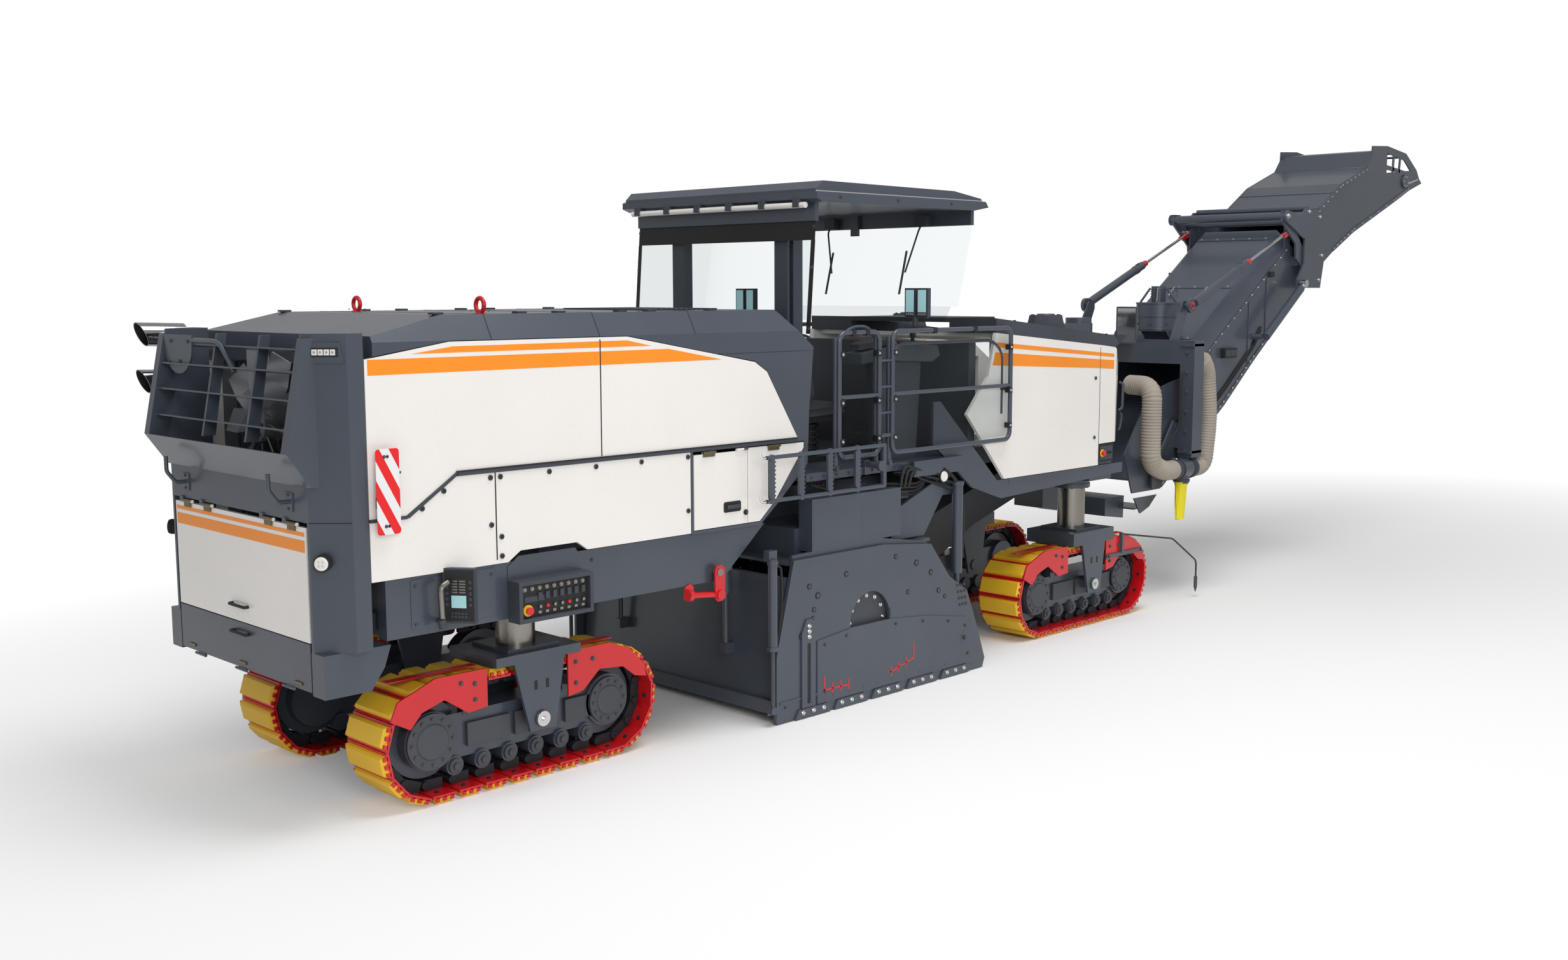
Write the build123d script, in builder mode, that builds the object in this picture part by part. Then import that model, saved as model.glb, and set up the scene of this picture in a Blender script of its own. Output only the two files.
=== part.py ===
"""Large cold planer (road milling machine) on four tracks, modelled as separate pieces.

Millimetres. +X is forward, towards the loading conveyor's tip, +Y is the machine's left,
+Z is up and the floor is z = 0. The origin is on the floor, midway along and across.
Outlines are lists of (x, z) corners, seen from the machine's right side.
"""
import os
from math import atan2, cos, degrees, hypot, pi, radians, sin

from build123d import *

os.makedirs("parts", exist_ok=True)

# Driving dimensions of the body
BODY_HALF = 1068          # half width over the side panels
REAR_HALF = 893           # half width of the flat rear face
REAR_X = -7795            # plane of the rear face
BAY_X = -7937             # rearmost edge of the fan bay, which overhangs the rear face
SKIRT_X = -7409           # front edge of the rear corner skirt
SEAM_X = -7518            # seam between corner column and side panels
HOOD_END_X = -4170        # front end of the flat hood roof
BEAM_BOTTOM = 1112        # underside of the chassis side beam
BEAM_TOP = 1470           # top of the chassis side beam
GROOVE_Z = 2060           # groove between upper and lower side panels
SHOULDER_Z = 2845         # lower edge of the hood's bevelled shoulder
ROOF_Z = 2996             # top of the hood
ROOF_HALF = 985           # half width of the flat roof
SKIN = 30                 # thickness of panels and covers
PANEL_GAP = 6             # gap that a door leaves to its neighbours
SEAT = 0.3                # gap left where one piece rests on another

# Driving dimensions of the tracks
TRACK_Y = 700             # track centre plane from the machine's centre plane
REAR_LEG_X = -6277
FRONT_LEG_X = 50
TRACK_LENGTH = 2150
TRACK_HEIGHT = 777
SHOE_WIDTH = 450
SHOE_HEIGHT = 62          # pad and plate together
PAD_HEIGHT = 44           # pad alone, which the gaps between shoes cut through
CHAIN_HEIGHT = 70         # chain under the shoes
SHOE_COUNT = 27
SHOE_SPACE = 0.17         # gap between two shoes, as a share of their pitch
COLUMN_RADIUS = 127.5
COLUMN_GAP = 1.0          # running gap between a column and its guide tube
GUIDE_WALL = 36

# Driving dimensions of the drum and its housing
DRUM_X = -3345
DRUM_Z = 620
DRUM_RADIUS = 400
BIT_REACH = 95
DRUM_HALF = 1090
DRUM_BORE = 236           # bore in the housing walls that carries the drum's hubs
DRUM_RUN = 0.9            # running gap of the hubs in that bore
HOUSING_HALF = 1150       # outer face of the fixed housing wall
WALL = 25
SIDE_PLATE = 30
PLATE_GAP = 8             # gap between the housing wall and its sliding side plate
GROUND_GAP = 8            # gap left under the skids

# Driving dimensions of the loading conveyor
SLEW_X = 1150             # upright axis about which it swings sideways
LIFT_X = 1620             # cross axis about which it is raised
LIFT_Z = 1200
FOLD_X = 4103             # cross axis about which its head section folds back
FOLD_Z = 3940
BELT_HALF = 600           # outer face of the side walls
CONVEYOR_WALL = 16
DECK_HALF = 450           # half width of the flat cover between the bevels
DECK_RISE = 150           # height of the cover above the side walls
SLEW_PIN = 60
SLEW_BOSS = (2665, 2800)  # lower and upper face of the boss that the conveyor's gate turns in
LIFT_PIN = 35
FOLD_PIN = 45
PIN_RUN = 0.8             # running gap of the pins in their bores
CROSS_TUBES = ((4388, 3885), (4640, 4040))
STAY_Y = 638              # plane of the two stays
STAY_BASE = (2237, 2970)
STAY_HEAD = (4350, 3795)
STAY_RADIUS = 45
STAY_ROD = 16
STAY_EYE_HALF = 18
LUG_INNER = 662           # inner face of the fold lugs on the lower section
LUG_THICK = 22
ARM_INNER = 690           # inner face of the fold arms on the head section
ARM_THICK = 22
FOLD_CYLINDER_Y = 770
FOLD_BARREL = 45
FOLD_EYE_HALF = 30
FOLD_CYLINDER_FOOT = (3614, 2620)
FOLD_CYLINDER_EYE = (4470, 3200)

SIDES = ((-1, "right"), (1, "left"))


def box(x_low, x_high, y_low, y_high, z_low, z_high, mode=Mode.ADD):
    """A box between two corners."""
    middle = ((x_low + x_high) / 2, (y_low + y_high) / 2, (z_low + z_high) / 2)
    with Locations(middle):
        Box(x_high - x_low, abs(y_high - y_low), z_high - z_low, mode=mode)


def slab(outline, y_one, y_two, mode=Mode.ADD):
    """An outline of (x, z) corners, extruded between two planes of constant y."""
    y_high = max(y_one, y_two)
    with BuildSketch(Plane.XZ.offset(-y_high)) as face:
        with BuildLine():
            Polyline(*outline, close=True)
        make_face()
    extrude(face.sketch, amount=abs(y_one - y_two), mode=mode)


def bar(start, end, radius, mode=Mode.ADD):
    """A round bar from one point to another."""
    run = Vector(*end) - Vector(*start)
    with BuildSketch(Plane(origin=start, z_dir=run)) as face:
        Circle(radius)
    extrude(face.sketch, amount=run.length, mode=mode)


def bent_tube(points, radius, bend, closed=False):
    """A tube of the given radius along straight runs with rounded corners."""
    with BuildLine() as route:
        FilletPolyline(*points, radius=bend, close=closed)
    with BuildSketch(Plane(origin=route.line @ 0, z_dir=route.line % 0)) as face:
        Circle(radius)
    sweep(face.sketch, path=route.line)


def strip(points, rise):
    """A thin outline that follows a line of (x, z) points, its upper edge raised by the given amount."""
    return list(points) + [(x, z + rise) for x, z in reversed(points)]


def loop_point(share, inset, centre, half_run, radius):
    """A point on a track's loop at a share of its way round, moved inwards by the inset."""
    way = (share % 1) * (4 * half_run + 2 * pi * radius)
    reach = radius - inset
    if way < 2 * half_run:
        return (centre[0] - half_run + way, centre[1] + reach)
    way -= 2 * half_run
    if way < pi * radius:
        turn = way / radius
        return (centre[0] + half_run + reach * sin(turn), centre[1] + reach * cos(turn))
    way -= pi * radius
    if way < 2 * half_run:
        return (centre[0] + half_run - way, centre[1] - reach)
    turn = (way - 2 * half_run) / radius
    return (centre[0] - half_run - reach * sin(turn), centre[1] - reach * cos(turn))


def save(piece, name):
    """Label a finished piece and write it."""
    piece.part.label = name
    export_step(piece.part, f"parts/{name}.step")


def along(start, end, share):
    """The point a share of the way from one (x, z) point to another."""
    return tuple(a + (b - a) * share for a, b in zip(start, end))


# Chassis frame: side beams, cross members, guide tubes for the legs and the front truss
side_beam = [(SKIRT_X, BEAM_BOTTOM), (-4750, BEAM_BOTTOM), (-4330, BEAM_TOP), (SKIRT_X, BEAM_TOP)]
front_truss = [
    (-2420, 2240), (-2330, 2240), (-1560, 1530), (380, 1530),
    (380, 1440), (-1500, 1370), (-1900, 1500), (-2420, 1900),
]
BEAM_INNER = 940
CHUTE_TOP = 1555          # top of the primary conveyor's channel
COLUMN_INNER = 871        # inner face of the rear corner columns
BEAM_OUTER = BODY_HALF - SKIN - 2
TRUSS_INNER = 1010
NOSE_HALF = 400
NOSE_NARROW = 170
SCRAPER_ROD_X = -4330
SCRAPER_ROD_Y = 620
SCRAPER_ROD = 22
SCRAPER_RUN = 0.8
LEG_GUIDES = ((REAR_LEG_X, 1120, 1700), (FRONT_LEG_X, 1300, 2000))
with BuildPart() as frame:
    for side, _ in SIDES:
        slab(side_beam, side * BEAM_INNER, side * BEAM_OUTER)
        slab(front_truss, side * TRUSS_INNER, side * BEAM_OUTER)
        for leg_x, low, high in LEG_GUIDES:
            bar((leg_x, side * TRACK_Y, low), (leg_x, side * TRACK_Y, high),
                COLUMN_RADIUS + COLUMN_GAP + GUIDE_WALL)
    box(-7360, -7200, -BEAM_INNER, BEAM_INNER, BEAM_BOTTOM, BEAM_TOP)
    box(REAR_LEG_X - 180, REAR_LEG_X + 180, -BEAM_INNER, BEAM_INNER, BEAM_BOTTOM + 8, 1400)
    box(-4760, -4560, -BEAM_INNER, BEAM_INNER, BEAM_BOTTOM + 30, BEAM_TOP)
    box(-7200, -4300, -360, 360, BEAM_BOTTOM, BEAM_TOP)
    box(-4560, -2085, -500, 500, 1385, 1615)
    box(-2085, 350, -330, 330, 1560, 1720)
    for side, _ in SIDES:
        box(-1400, -1300, side * (TRUSS_INNER + 5), side * (BODY_HALF - SKIN - SEAT), 1480, 1620)
    box(-2440, -2300, -1012, 1012, 1500, 1615)
    box(FRONT_LEG_X - 180, FRONT_LEG_X + 180, -1012, 1012, 1390, 1700)
    box(-60, 160, -200, 200, 1700, 2800)
    box(160, SLEW_X - 100, -200, 200, *SLEW_BOSS)
    bar((SLEW_X, 0, SLEW_BOSS[0]), (SLEW_X, 0, SLEW_BOSS[1]), 140)
    box(FRONT_LEG_X - 190, FRONT_LEG_X + 190, -335, 335, 1380, CHUTE_TOP + SEAT, mode=Mode.SUBTRACT)
    slab([(345, 1010), (1095, 872), (1095, 1050), (700, 1380), (345, 1380)], -NOSE_NARROW, NOSE_NARROW)
    box(345, 400, -365, 365, 1300, 1380)
    for side, _ in SIDES:
        box(60, 400, side * 337, side * 365, 1300, 1400)
    slab([(1095, 872), (1430, 822), (1440, 1050), (1095, 1050)], -NOSE_HALF, NOSE_HALF)
    for side, _ in SIDES:
        slab([(1310, 1050), (1433, 886), (1596, 939), (1740, 1050)], side * 584, side * 600)
    slab([(1340, 930), (1596, 945), (1610, 957), (1340, 945)], -584, 584)
    for side, _ in SIDES:
        for leg_x, low, high in LEG_GUIDES:
            bar((leg_x, side * TRACK_Y, low - 50), (leg_x, side * TRACK_Y, high + 50),
                COLUMN_RADIUS + COLUMN_GAP, mode=Mode.SUBTRACT)
    for side, _ in SIDES:
        rod_y = side * SCRAPER_ROD_Y
        box(-4565, SCRAPER_ROD_X, rod_y - 30, rod_y + 30, 1395, 1468)
        bar((SCRAPER_ROD_X, rod_y, 900), (SCRAPER_ROD_X, rod_y, 1470), 44)
        bar((SCRAPER_ROD_X, rod_y, 890), (SCRAPER_ROD_X, rod_y, 1440), SCRAPER_ROD + SCRAPER_RUN, mode=Mode.SUBTRACT)
    bar((SLEW_X, 0, 2600), (SLEW_X, 0, 2850), SLEW_PIN + PIN_RUN, mode=Mode.SUBTRACT)
    for side, _ in SIDES:
        box(-7600, -7300, side * 760, side * (COLUMN_INNER - SEAT), 1150, 1250)
save(frame, "frame")

# Engine, gearbox and pump drive, closed in under the hood: one plain block
with BuildPart() as engine:
    box(-6950, -4580, -480, 480, BEAM_TOP + SEAT, 2650)
save(engine, "engine_block")

# Hood roof: a shallow cover with bevelled shoulders, falling away at the rear
roof_side = [
    (-7460, 2880), (-6950, ROOF_Z), (HOOD_END_X, ROOF_Z), (-4009, SHOULDER_Z),
    (-3851, 2723), (-3851, 2700), (-7460, 2700),
]
roof_section = [
    (-BODY_HALF, 2700), (-BODY_HALF, SHOULDER_Z), (-ROOF_HALF, ROOF_Z),
    (ROOF_HALF, ROOF_Z), (BODY_HALF, SHOULDER_Z), (BODY_HALF, 2700),
]
with BuildPart() as hood_roof:
    slab(roof_side, -BODY_HALF, BODY_HALF)
    with BuildSketch(Plane.YZ.offset(-7600)) as section:
        with BuildLine():
            Polyline(*roof_section, close=True)
        make_face()
    extrude(section.sketch, amount=4000, mode=Mode.INTERSECT)
    box(-7400, -4100, -BODY_HALF + SKIN, BODY_HALF - SKIN, 2600, 2800, mode=Mode.SUBTRACT)
    for side, _ in SIDES:
        slab([(-7600, 2600), (-7600, 2744), (-6952, 2843), (-5606, 2843), (-4826, 2704), (-4826, 2600)],
             side * (BODY_HALF - SKIN), side * (BODY_HALF + 1), mode=Mode.SUBTRACT)
save(hood_roof, "hood_roof")

# Upper side panels of the hood, one pair a side, and the grey end cheek in front of them
DOOR_END = -4530
DOOR_HINGE_Z = 2026
SERVICE_HINGES = (-4960, -4640)
SERVICE_KNUCKLE = 70
SERVICE_AXIS_Y = BODY_HALF + 6
upper_panel = [
    (SEAM_X + 5, 1838), (-7276, 1838), (-6924, GROOVE_Z + 8), (-4019, GROOVE_Z + 8),
    (-4330, 2560), (-4450, 2633), (-5606, 2838), (-6952, 2838), (SEAM_X + 5, 2750),
]
lower_panel = [
    (SEAM_X + 5, 1475), (-6661, 1475), (-6572, 1475), (-6479, 1537), (-6041, 1537),
    (-5958, 1480), (-5066, 1480), (-5066, GROOVE_Z - 12), (-6924, GROOVE_Z - 12),
    (-7276, 1822), (SEAM_X + 5, 1822),
]
end_cheek = [
    (-5060, 1470), (-4395, 1470), (-4215, 1612), (-3912, 1869), (-3895, 2249), (-3851, 2698),
    (-4790, 2698), (-4450, 2640), (-4325, 2565), (-4012, GROOVE_Z), (-5060, GROOVE_Z),
]
service_opening = [(-5040, 1490), (-4405, 1490), (-4250, 1622), (-3950, 1990), (-3950, 2040), (-5040, 2040)]
with BuildPart() as end_cheeks:
    for side, _ in SIDES:
        slab(end_cheek, side * (BODY_HALF - SKIN), side * (BODY_HALF - 2))
        slab(service_opening, side * (BODY_HALF - SKIN - 1), side * (BODY_HALF + 1), mode=Mode.SUBTRACT)
        for hinge_x in SERVICE_HINGES:
            low, high = hinge_x + SERVICE_KNUCKLE + SEAT, hinge_x + SERVICE_KNUCKLE + 40
            bar((low, side * SERVICE_AXIS_Y, DOOR_HINGE_Z), (high, side * SERVICE_AXIS_Y, DOOR_HINGE_Z), 8)
            box(low, high, side * (BODY_HALF - 5), side * (BODY_HALF + 4), DOOR_HINGE_Z, 2048)
    box(-4240, -3960, -BODY_HALF + SKIN - 5, BODY_HALF - SKIN + 5, 2630, 2690)
    box(-4240, -3960, -BODY_HALF + SKIN + SEAT, BODY_HALF - SKIN - SEAT, 1900, 2640)
save(end_cheeks, "end_cheeks")

# Service doors, one a side, hinged along their top edge; a fixed panel carries on behind the ladder
door_leaf = [(-5034, 1496), (DOOR_END, 1496), (DOOR_END, 2016), (-5034, 2016)]
fixed_leaf = [
    (DOOR_END + PANEL_GAP, 1496), (-4407, 1496), (-4256, 1624), (-3956, 1992), (-3956, 2030),
    (DOOR_END + PANEL_GAP, 2030),
]
with BuildPart() as side_panels:
    for side, _ in SIDES:
        slab(upper_panel, side * (BODY_HALF - SKIN), side * BODY_HALF)
        slab(lower_panel, side * (BODY_HALF - SKIN), side * BODY_HALF)
        slab(fixed_leaf, side * (BODY_HALF - SKIN), side * BODY_HALF)
save(side_panels, "side_panels")
for side, name in SIDES:
    with BuildPart() as service:
        slab(door_leaf, side * (BODY_HALF - 24), side * BODY_HALF)
        for hinge_x in SERVICE_HINGES:
            bar((hinge_x, side * SERVICE_AXIS_Y, DOOR_HINGE_Z),
                (hinge_x + SERVICE_KNUCKLE, side * SERVICE_AXIS_Y, DOOR_HINGE_Z), 8)
            box(hinge_x, hinge_x + SERVICE_KNUCKLE, side * (BODY_HALF - 4), side * (BODY_HALF + 4), 1990, DOOR_HINGE_Z)
    save(service, f"service_door_{name}")

# Moulded rear corner columns, skirts and the sloped sill below the fan bay
CHAMFER_X = REAR_X + (BODY_HALF - REAR_HALF)
HINGE_X = REAR_X - 4
DOOR_AXIS_Z = 1812
DOOR_HINGES = (-700, -420, 380, 660)
DOOR_KNUCKLE = 60         # half length of a knuckle on the door
FLAP_AXIS_Z = 830
FLAP_HINGES = (-600, 0, 560)
FLAP_KNUCKLE = 50
column_plan_low = [
    (REAR_X, REAR_HALF), (CHAMFER_X, BODY_HALF), (SEAM_X, BODY_HALF), (SEAM_X, COLUMN_INNER), (REAR_X, COLUMN_INNER),
]
with BuildPart() as rear_corners:
    for side, _ in SIDES:
        with BuildSketch(Plane.XY.offset(1080)) as plan:
            with BuildLine():
                Polyline(*[(x, side * y) for x, y in column_plan_low], close=True)
            make_face()
        extrude(plan.sketch, amount=1820)
        slab([(REAR_X, 825), (-7500, 825), (SKIRT_X, 954), (-7365, 1080), (REAR_X, 1080)],
             side * (REAR_HALF - 30), side * (REAR_HALF + 110))
        slab([(REAR_X, 2034), (BAY_X, 2235), (-7810, 2872), (-7650, 2890), (-7650, 2034)],
             side * COLUMN_INNER, side * 940)
    slab([(REAR_X, 1830), (REAR_X, 2034), (BAY_X, 2235), (BAY_X + 20, 2235), (REAR_X + 24, 2040), (REAR_X + 24, 1830)],
         -875, 875)
    box(-7765, -7730, -875, 875, 825, 862)
    for hinge_y in DOOR_HINGES:
        low, high = hinge_y + DOOR_KNUCKLE + SEAT, hinge_y + DOOR_KNUCKLE + 40
        bar((HINGE_X, low, DOOR_AXIS_Z), (HINGE_X, high, DOOR_AXIS_Z), 11)
        box(HINGE_X - 8, HINGE_X + 10, low, high, DOOR_AXIS_Z, 1840)
    for hinge_y in FLAP_HINGES:
        low, high = hinge_y + FLAP_KNUCKLE + SEAT, hinge_y + FLAP_KNUCKLE + 40
        bar((HINGE_X, low, FLAP_AXIS_Z), (HINGE_X, high, FLAP_AXIS_Z), 9)
        box(HINGE_X, -7740, low, high, 825, 833)
save(rear_corners, "rear_corners")

# Fan bay: side walls, back wall with the fan ring, slats and struts
SLAT_ROWS = ((-7885, 2355), (-7860, 2520), (-7835, 2680), (-7800, 2805))
FAN_X = -7580
FAN_Z = 2330
FAN_RADIUS = 480
FAN_HUB = 120             # length of the fan's hub
with BuildPart() as fan_bay:
    box(-7360, -7330, -BODY_HALF + SKIN, BODY_HALF - SKIN, BEAM_TOP, 2690)
    with Locations(Location((-7345, 0, FAN_Z), (0, 90, 0))):
        Cylinder(FAN_RADIUS + 20, 60, mode=Mode.SUBTRACT)
    box(-7360, -7330, -FAN_RADIUS - 30, FAN_RADIUS + 30, FAN_Z - 40, FAN_Z + 40)
    bar((-7350, 0, FAN_Z), (FAN_X + FAN_HUB / 2 + 0.3, 0, FAN_Z), 70)
    for slat_x, slat_z in SLAT_ROWS:
        slab([(slat_x, slat_z), (slat_x + 110, slat_z - 20), (slat_x + 112, slat_z - 10), (slat_x + 2, slat_z + 10)],
             -COLUMN_INNER + SEAT, COLUMN_INNER - SEAT)
    for strut_y in (-330, 230):
        slab([(-7880, 2260), (-7800, 2260), (-7700, 2880), (-7760, 2880)], strut_y - 12, strut_y + 12)
save(fan_bay, "fan_bay")

# Cooling fan
with BuildPart() as fan:
    with Locations(Location((FAN_X, 0, FAN_Z), (0, 90, 0))):
        Cylinder(105, FAN_HUB)
    for blade in range(8):
        turn = blade * 360 / 8
        blade_plane = Plane(Location((FAN_X, 0, FAN_Z), (turn, 0, 0)))
        with BuildSketch(blade_plane.offset(60)) as root_shape:
            Rectangle(40, 110, rotation=25)
        extrude(root_shape.sketch, amount=FAN_RADIUS - 75)
save(fan, "fan")

# Rear engine door, hinged at its top edge, and the flap below it, hinged at its bottom edge
with BuildPart() as rear_door:
    box(REAR_X, REAR_X + 24, -850, 850, 1132, 1800)
    for hinge_y in DOOR_HINGES:
        bar((HINGE_X, hinge_y - DOOR_KNUCKLE, DOOR_AXIS_Z), (HINGE_X, hinge_y + DOOR_KNUCKLE, DOOR_AXIS_Z), 11)
        box(REAR_X - 12, REAR_X + 6, hinge_y - 40, hinge_y + 40, 1780, DOOR_AXIS_Z - 4)
save(rear_door, "rear_door")
with BuildPart() as rear_flap:
    box(REAR_X, REAR_X + 24, -850, 850, 841, 1124)
    for hinge_y in FLAP_HINGES:
        bar((HINGE_X, hinge_y - FLAP_KNUCKLE, FLAP_AXIS_Z), (HINGE_X, hinge_y + FLAP_KNUCKLE, FLAP_AXIS_Z), 9)
        box(HINGE_X, REAR_X + 10, hinge_y - 40, hinge_y + 40, FLAP_AXIS_Z + 2, 845)
save(rear_flap, "rear_flap")

# Chrome tail pipes, lifting eyes and the striped marker board
with BuildPart() as tail_pipes:
    for pipe_z in (2858, 2553):
        bar((-7560, 1150, pipe_z - 12), (-7870, 1150, pipe_z), 62)
        bar((-7540, 1150, pipe_z - 13), (-7890, 1150, pipe_z + 1), 56, mode=Mode.SUBTRACT)
        bar((-7600, 1100, pipe_z - 10), (-7600, BODY_HALF + SEAT, pipe_z - 10), 40)
save(tail_pipes, "tail_pipes")
EYE_RADIUS = 30
with BuildPart() as lifting_eyes:
    for side, _ in SIDES:
        for eye_x in (-6512,):
            box(eye_x - 15, eye_x + 15, side * 743 - 55, side * 743 + 55, ROOF_Z + 0.5, ROOF_Z + 90)
            bar((eye_x - 30, side * 743, ROOF_Z + 50), (eye_x + 30, side * 743, ROOF_Z + 50), EYE_RADIUS, mode=Mode.SUBTRACT)
save(lifting_eyes, "lifting_eyes")
with BuildPart() as marker_boards:
    for side, _ in SIDES:
        slab([(-7495, 1751), (-7344, 1751), (-7344, 2245), (-7495, 2245)], side * 1120, side * 1124)
        box(-7470, -7420, side * (BODY_HALF + SEAT), side * 1120, 1900, 1960)
save(marker_boards, "marker_boards")

# Side consoles low on the beam: a tilted display and a switch box
with BuildPart() as side_consoles:
    for side, _ in SIDES:
        box(-7094, -6855, side * 1100, side * 1140, 1161, 1501)
        box(-7010, -6930, side * (BEAM_OUTER + SEAT), side * 1100, 1200, 1260)
        box(-6562, -5986, side * (BEAM_OUTER + SEAT), side * 1160, 1093, 1354)
save(side_consoles, "side_consoles")

# Operator's platform between hood and front hood, with sleeves for the canopy's posts
PLATFORM_Z = 1790
POST_X = -3610
POST_Y = 625
POST_HALF = 50
POST_GAP = 0.6            # running gap of the posts in their sleeves
SLEEVE_WALL = 14
CANOPY_TRAVEL = 850       # how far the canopy sinks for transport
POST_LOW = 2250
SLEEVE_TOP = 2600
LADDER_Y = 1214
LADDER_HALF = 14
LADDER_HINGE = (-3260, 1810)
with BuildPart() as platform:
    box(-3920, -2300, -1060, 1060, PLATFORM_Z - 60, PLATFORM_Z)
    box(-2300, -1880, -TRUSS_INNER + SEAT, TRUSS_INNER - SEAT, PLATFORM_Z - 60, PLATFORM_Z)
    for side, _ in SIDES:
        box(-2730, -2100, side * 1042, side * 1100, PLATFORM_Z - 125, PLATFORM_Z)
    for side, _ in SIDES:
        reach = POST_HALF + POST_GAP + SLEEVE_WALL
        box(POST_X - reach, POST_X + reach, side * POST_Y - reach, side * POST_Y + reach, PLATFORM_Z - 60,
            SLEEVE_TOP)
    for side, _ in SIDES:
        reach = POST_HALF + POST_GAP
        box(POST_X - reach, POST_X + reach, side * POST_Y - reach, side * POST_Y + reach,
            PLATFORM_Z - 70, SLEEVE_TOP + 10, mode=Mode.SUBTRACT)
    for side, _ in SIDES:
        box(LADDER_HINGE[0] - 30, LADDER_HINGE[0] + 30, side * 1030, side * 1075, PLATFORM_Z - 60, LADDER_HINGE[1] + 30)
        bar((LADDER_HINGE[0], side * 1070, LADDER_HINGE[1]),
            (LADDER_HINGE[0], side * (LADDER_Y - LADDER_HALF - 0.3), LADDER_HINGE[1]), 24)
save(platform, "platform")

# Operator station: side consoles, seats and front wall
with BuildPart() as operator_station:
    for side, _ in SIDES:
        box(-3200, -2250, side * 760, side * 960, 2560, 2700)
        box(-2900, -2500, side * 780, side * 920, PLATFORM_Z, 2560)
        box(-3450, -3000, side * 180, side * 640, PLATFORM_Z, 2230)
        box(-3500, -3420, side * 200, side * 620, 2180, 2750)
    box(-1870, -1780, -960, 960, PLATFORM_Z - 20, 2700)
    box(-2100, -1870, -300, 300, PLATFORM_Z, 1900)
save(operator_station, "operator_station")

# Displays on the right and left rail, which fold down before the canopy is lowered
DISPLAY_X = -2560
DISPLAY_HINGE_Z = 2830
with BuildPart() as displays:
    for side, _ in SIDES:
        bar((DISPLAY_X, side * 850, DISPLAY_HINGE_Z), (DISPLAY_X, side * 1060, DISPLAY_HINGE_Z), 18)
        box(DISPLAY_X - 12, DISPLAY_X + 12, side * 940, side * 970, DISPLAY_HINGE_Z, 2930)
        for offset in (860, 985):
            box(DISPLAY_X - 20, DISPLAY_X + 20, side * offset, side * (offset + 110), 2925, 3150)
        box(DISPLAY_X - 15, DISPLAY_X + 15, side * 870, side * 1085, 2912, 2928)
save(displays, "displays")

# Guard rails of bent tube with posts
RAIL_Y = 1120
TUBE = 19
RAIL_FRAMES = ((-3630, -3180, 1890), (-3027, -1510, 1885))
RAIL_POSTS = (-3630, -3180, -3027)
with BuildPart() as guard_rails:
    for side, _ in SIDES:
        rail_y = side * RAIL_Y
        for left, right, low in RAIL_FRAMES:
            bent_tube([(right, rail_y, low), (right, rail_y, 2820), (left, rail_y, 2820), (left, rail_y, low)],
                      TUBE, 70, closed=True)
            bar((left, rail_y, 2340), (right, rail_y, 2340), TUBE - 3)
        for post_x in RAIL_POSTS:
            bar((post_x, side * 1085, 1805), (post_x, side * 1085, 2780), TUBE + 3)
            box(post_x - 15, post_x + 15, side * 1040, side * 1110, PLATFORM_Z, PLATFORM_Z + 40)
            box(post_x - 12, post_x + 12, side * 1080, side * 1115, 2300, 2330)
        box(DISPLAY_X - 30, DISPLAY_X + 30, side * 1030, rail_y, 2795, DISPLAY_HINGE_Z - 18.3)
save(guard_rails, "guard_rails")

# Boarding ladder, folded up flat along the side; it swings down about its front end
LADDER_RUNGS = (-4430, -4130, -3830, -3530)
for side, name in SIDES:
    with BuildPart() as ladder:
        for rail_z in (1655, 1965):
            bar((-4480, side * LADDER_Y, rail_z), (-3215, side * LADDER_Y, rail_z), 15)
        for rung_x in LADDER_RUNGS + (-3230,):
            box(rung_x - 18, rung_x + 18, side * (LADDER_Y - LADDER_HALF), side * (LADDER_Y + LADDER_HALF), 1655, 1965)
        bar((LADDER_HINGE[0], side * (LADDER_Y - LADDER_HALF), LADDER_HINGE[1]),
            (LADDER_HINGE[0], side * (LADDER_Y + LADDER_HALF), LADDER_HINGE[1]), 40)
    save(ladder, f"ladder_{name}")

# Front hood: white sides, sloping cover with two domes
hood_side = [
    (-1502, 1541), (-79, 1541), (-79, 1735), (291, 1740), (451, 2431), (166, 2610),
    (-22, 2631), (-1650, 2779), (-1744, 2417), (-2025, 2119),
]
with BuildPart() as front_hood:
    slab(hood_side, -BODY_HALF, BODY_HALF)
    with BuildSketch(Plane.XY.offset(1400)) as hood_plan:
        with BuildLine():
            Polyline((-2100, -BODY_HALF), (190, -BODY_HALF), (451, -920), (451, 920), (190, BODY_HALF),
                     (-2100, BODY_HALF), close=True)
        make_face()
    extrude(hood_plan.sketch, amount=1500, mode=Mode.INTERSECT)
    slab([(-3000, 1500), (180, 1500), (180, 2560), (-22, 2600), (-1650, 2745), (-1720, 2410), (-2000, 2125),
          (-2500, 1600)], -BODY_HALF + SKIN, BODY_HALF - SKIN, mode=Mode.SUBTRACT)
    box(170, 240, -990, 990, 1500, 2480, mode=Mode.SUBTRACT)
    box(-3000, -1560, -BODY_HALF + SKIN, BODY_HALF - SKIN, 1500, 2900, mode=Mode.SUBTRACT)
    box(-1000, 800, -560, 560, 1500, 2900, mode=Mode.SUBTRACT)
save(front_hood, "front_hood")
with BuildPart() as front_hood_cover:
    for side, _ in SIDES:
        slab([(-1640, 2779), (-22, 2631 + SEAT), (166, 2610 + SEAT), (240, 2640), (150, 2720), (-1640, 2900)],
             side * 565, side * (BODY_HALF - 4))
        with BuildSketch(Plane.XY.offset(2720)) as dome_low:
            with Locations((-560, side * 800)):
                RegularPolygon(190, 8)
        extrude(dome_low.sketch, amount=190, taper=12)
    box(-1640, -1000, -565, 565, 2860, 2900)
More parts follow.
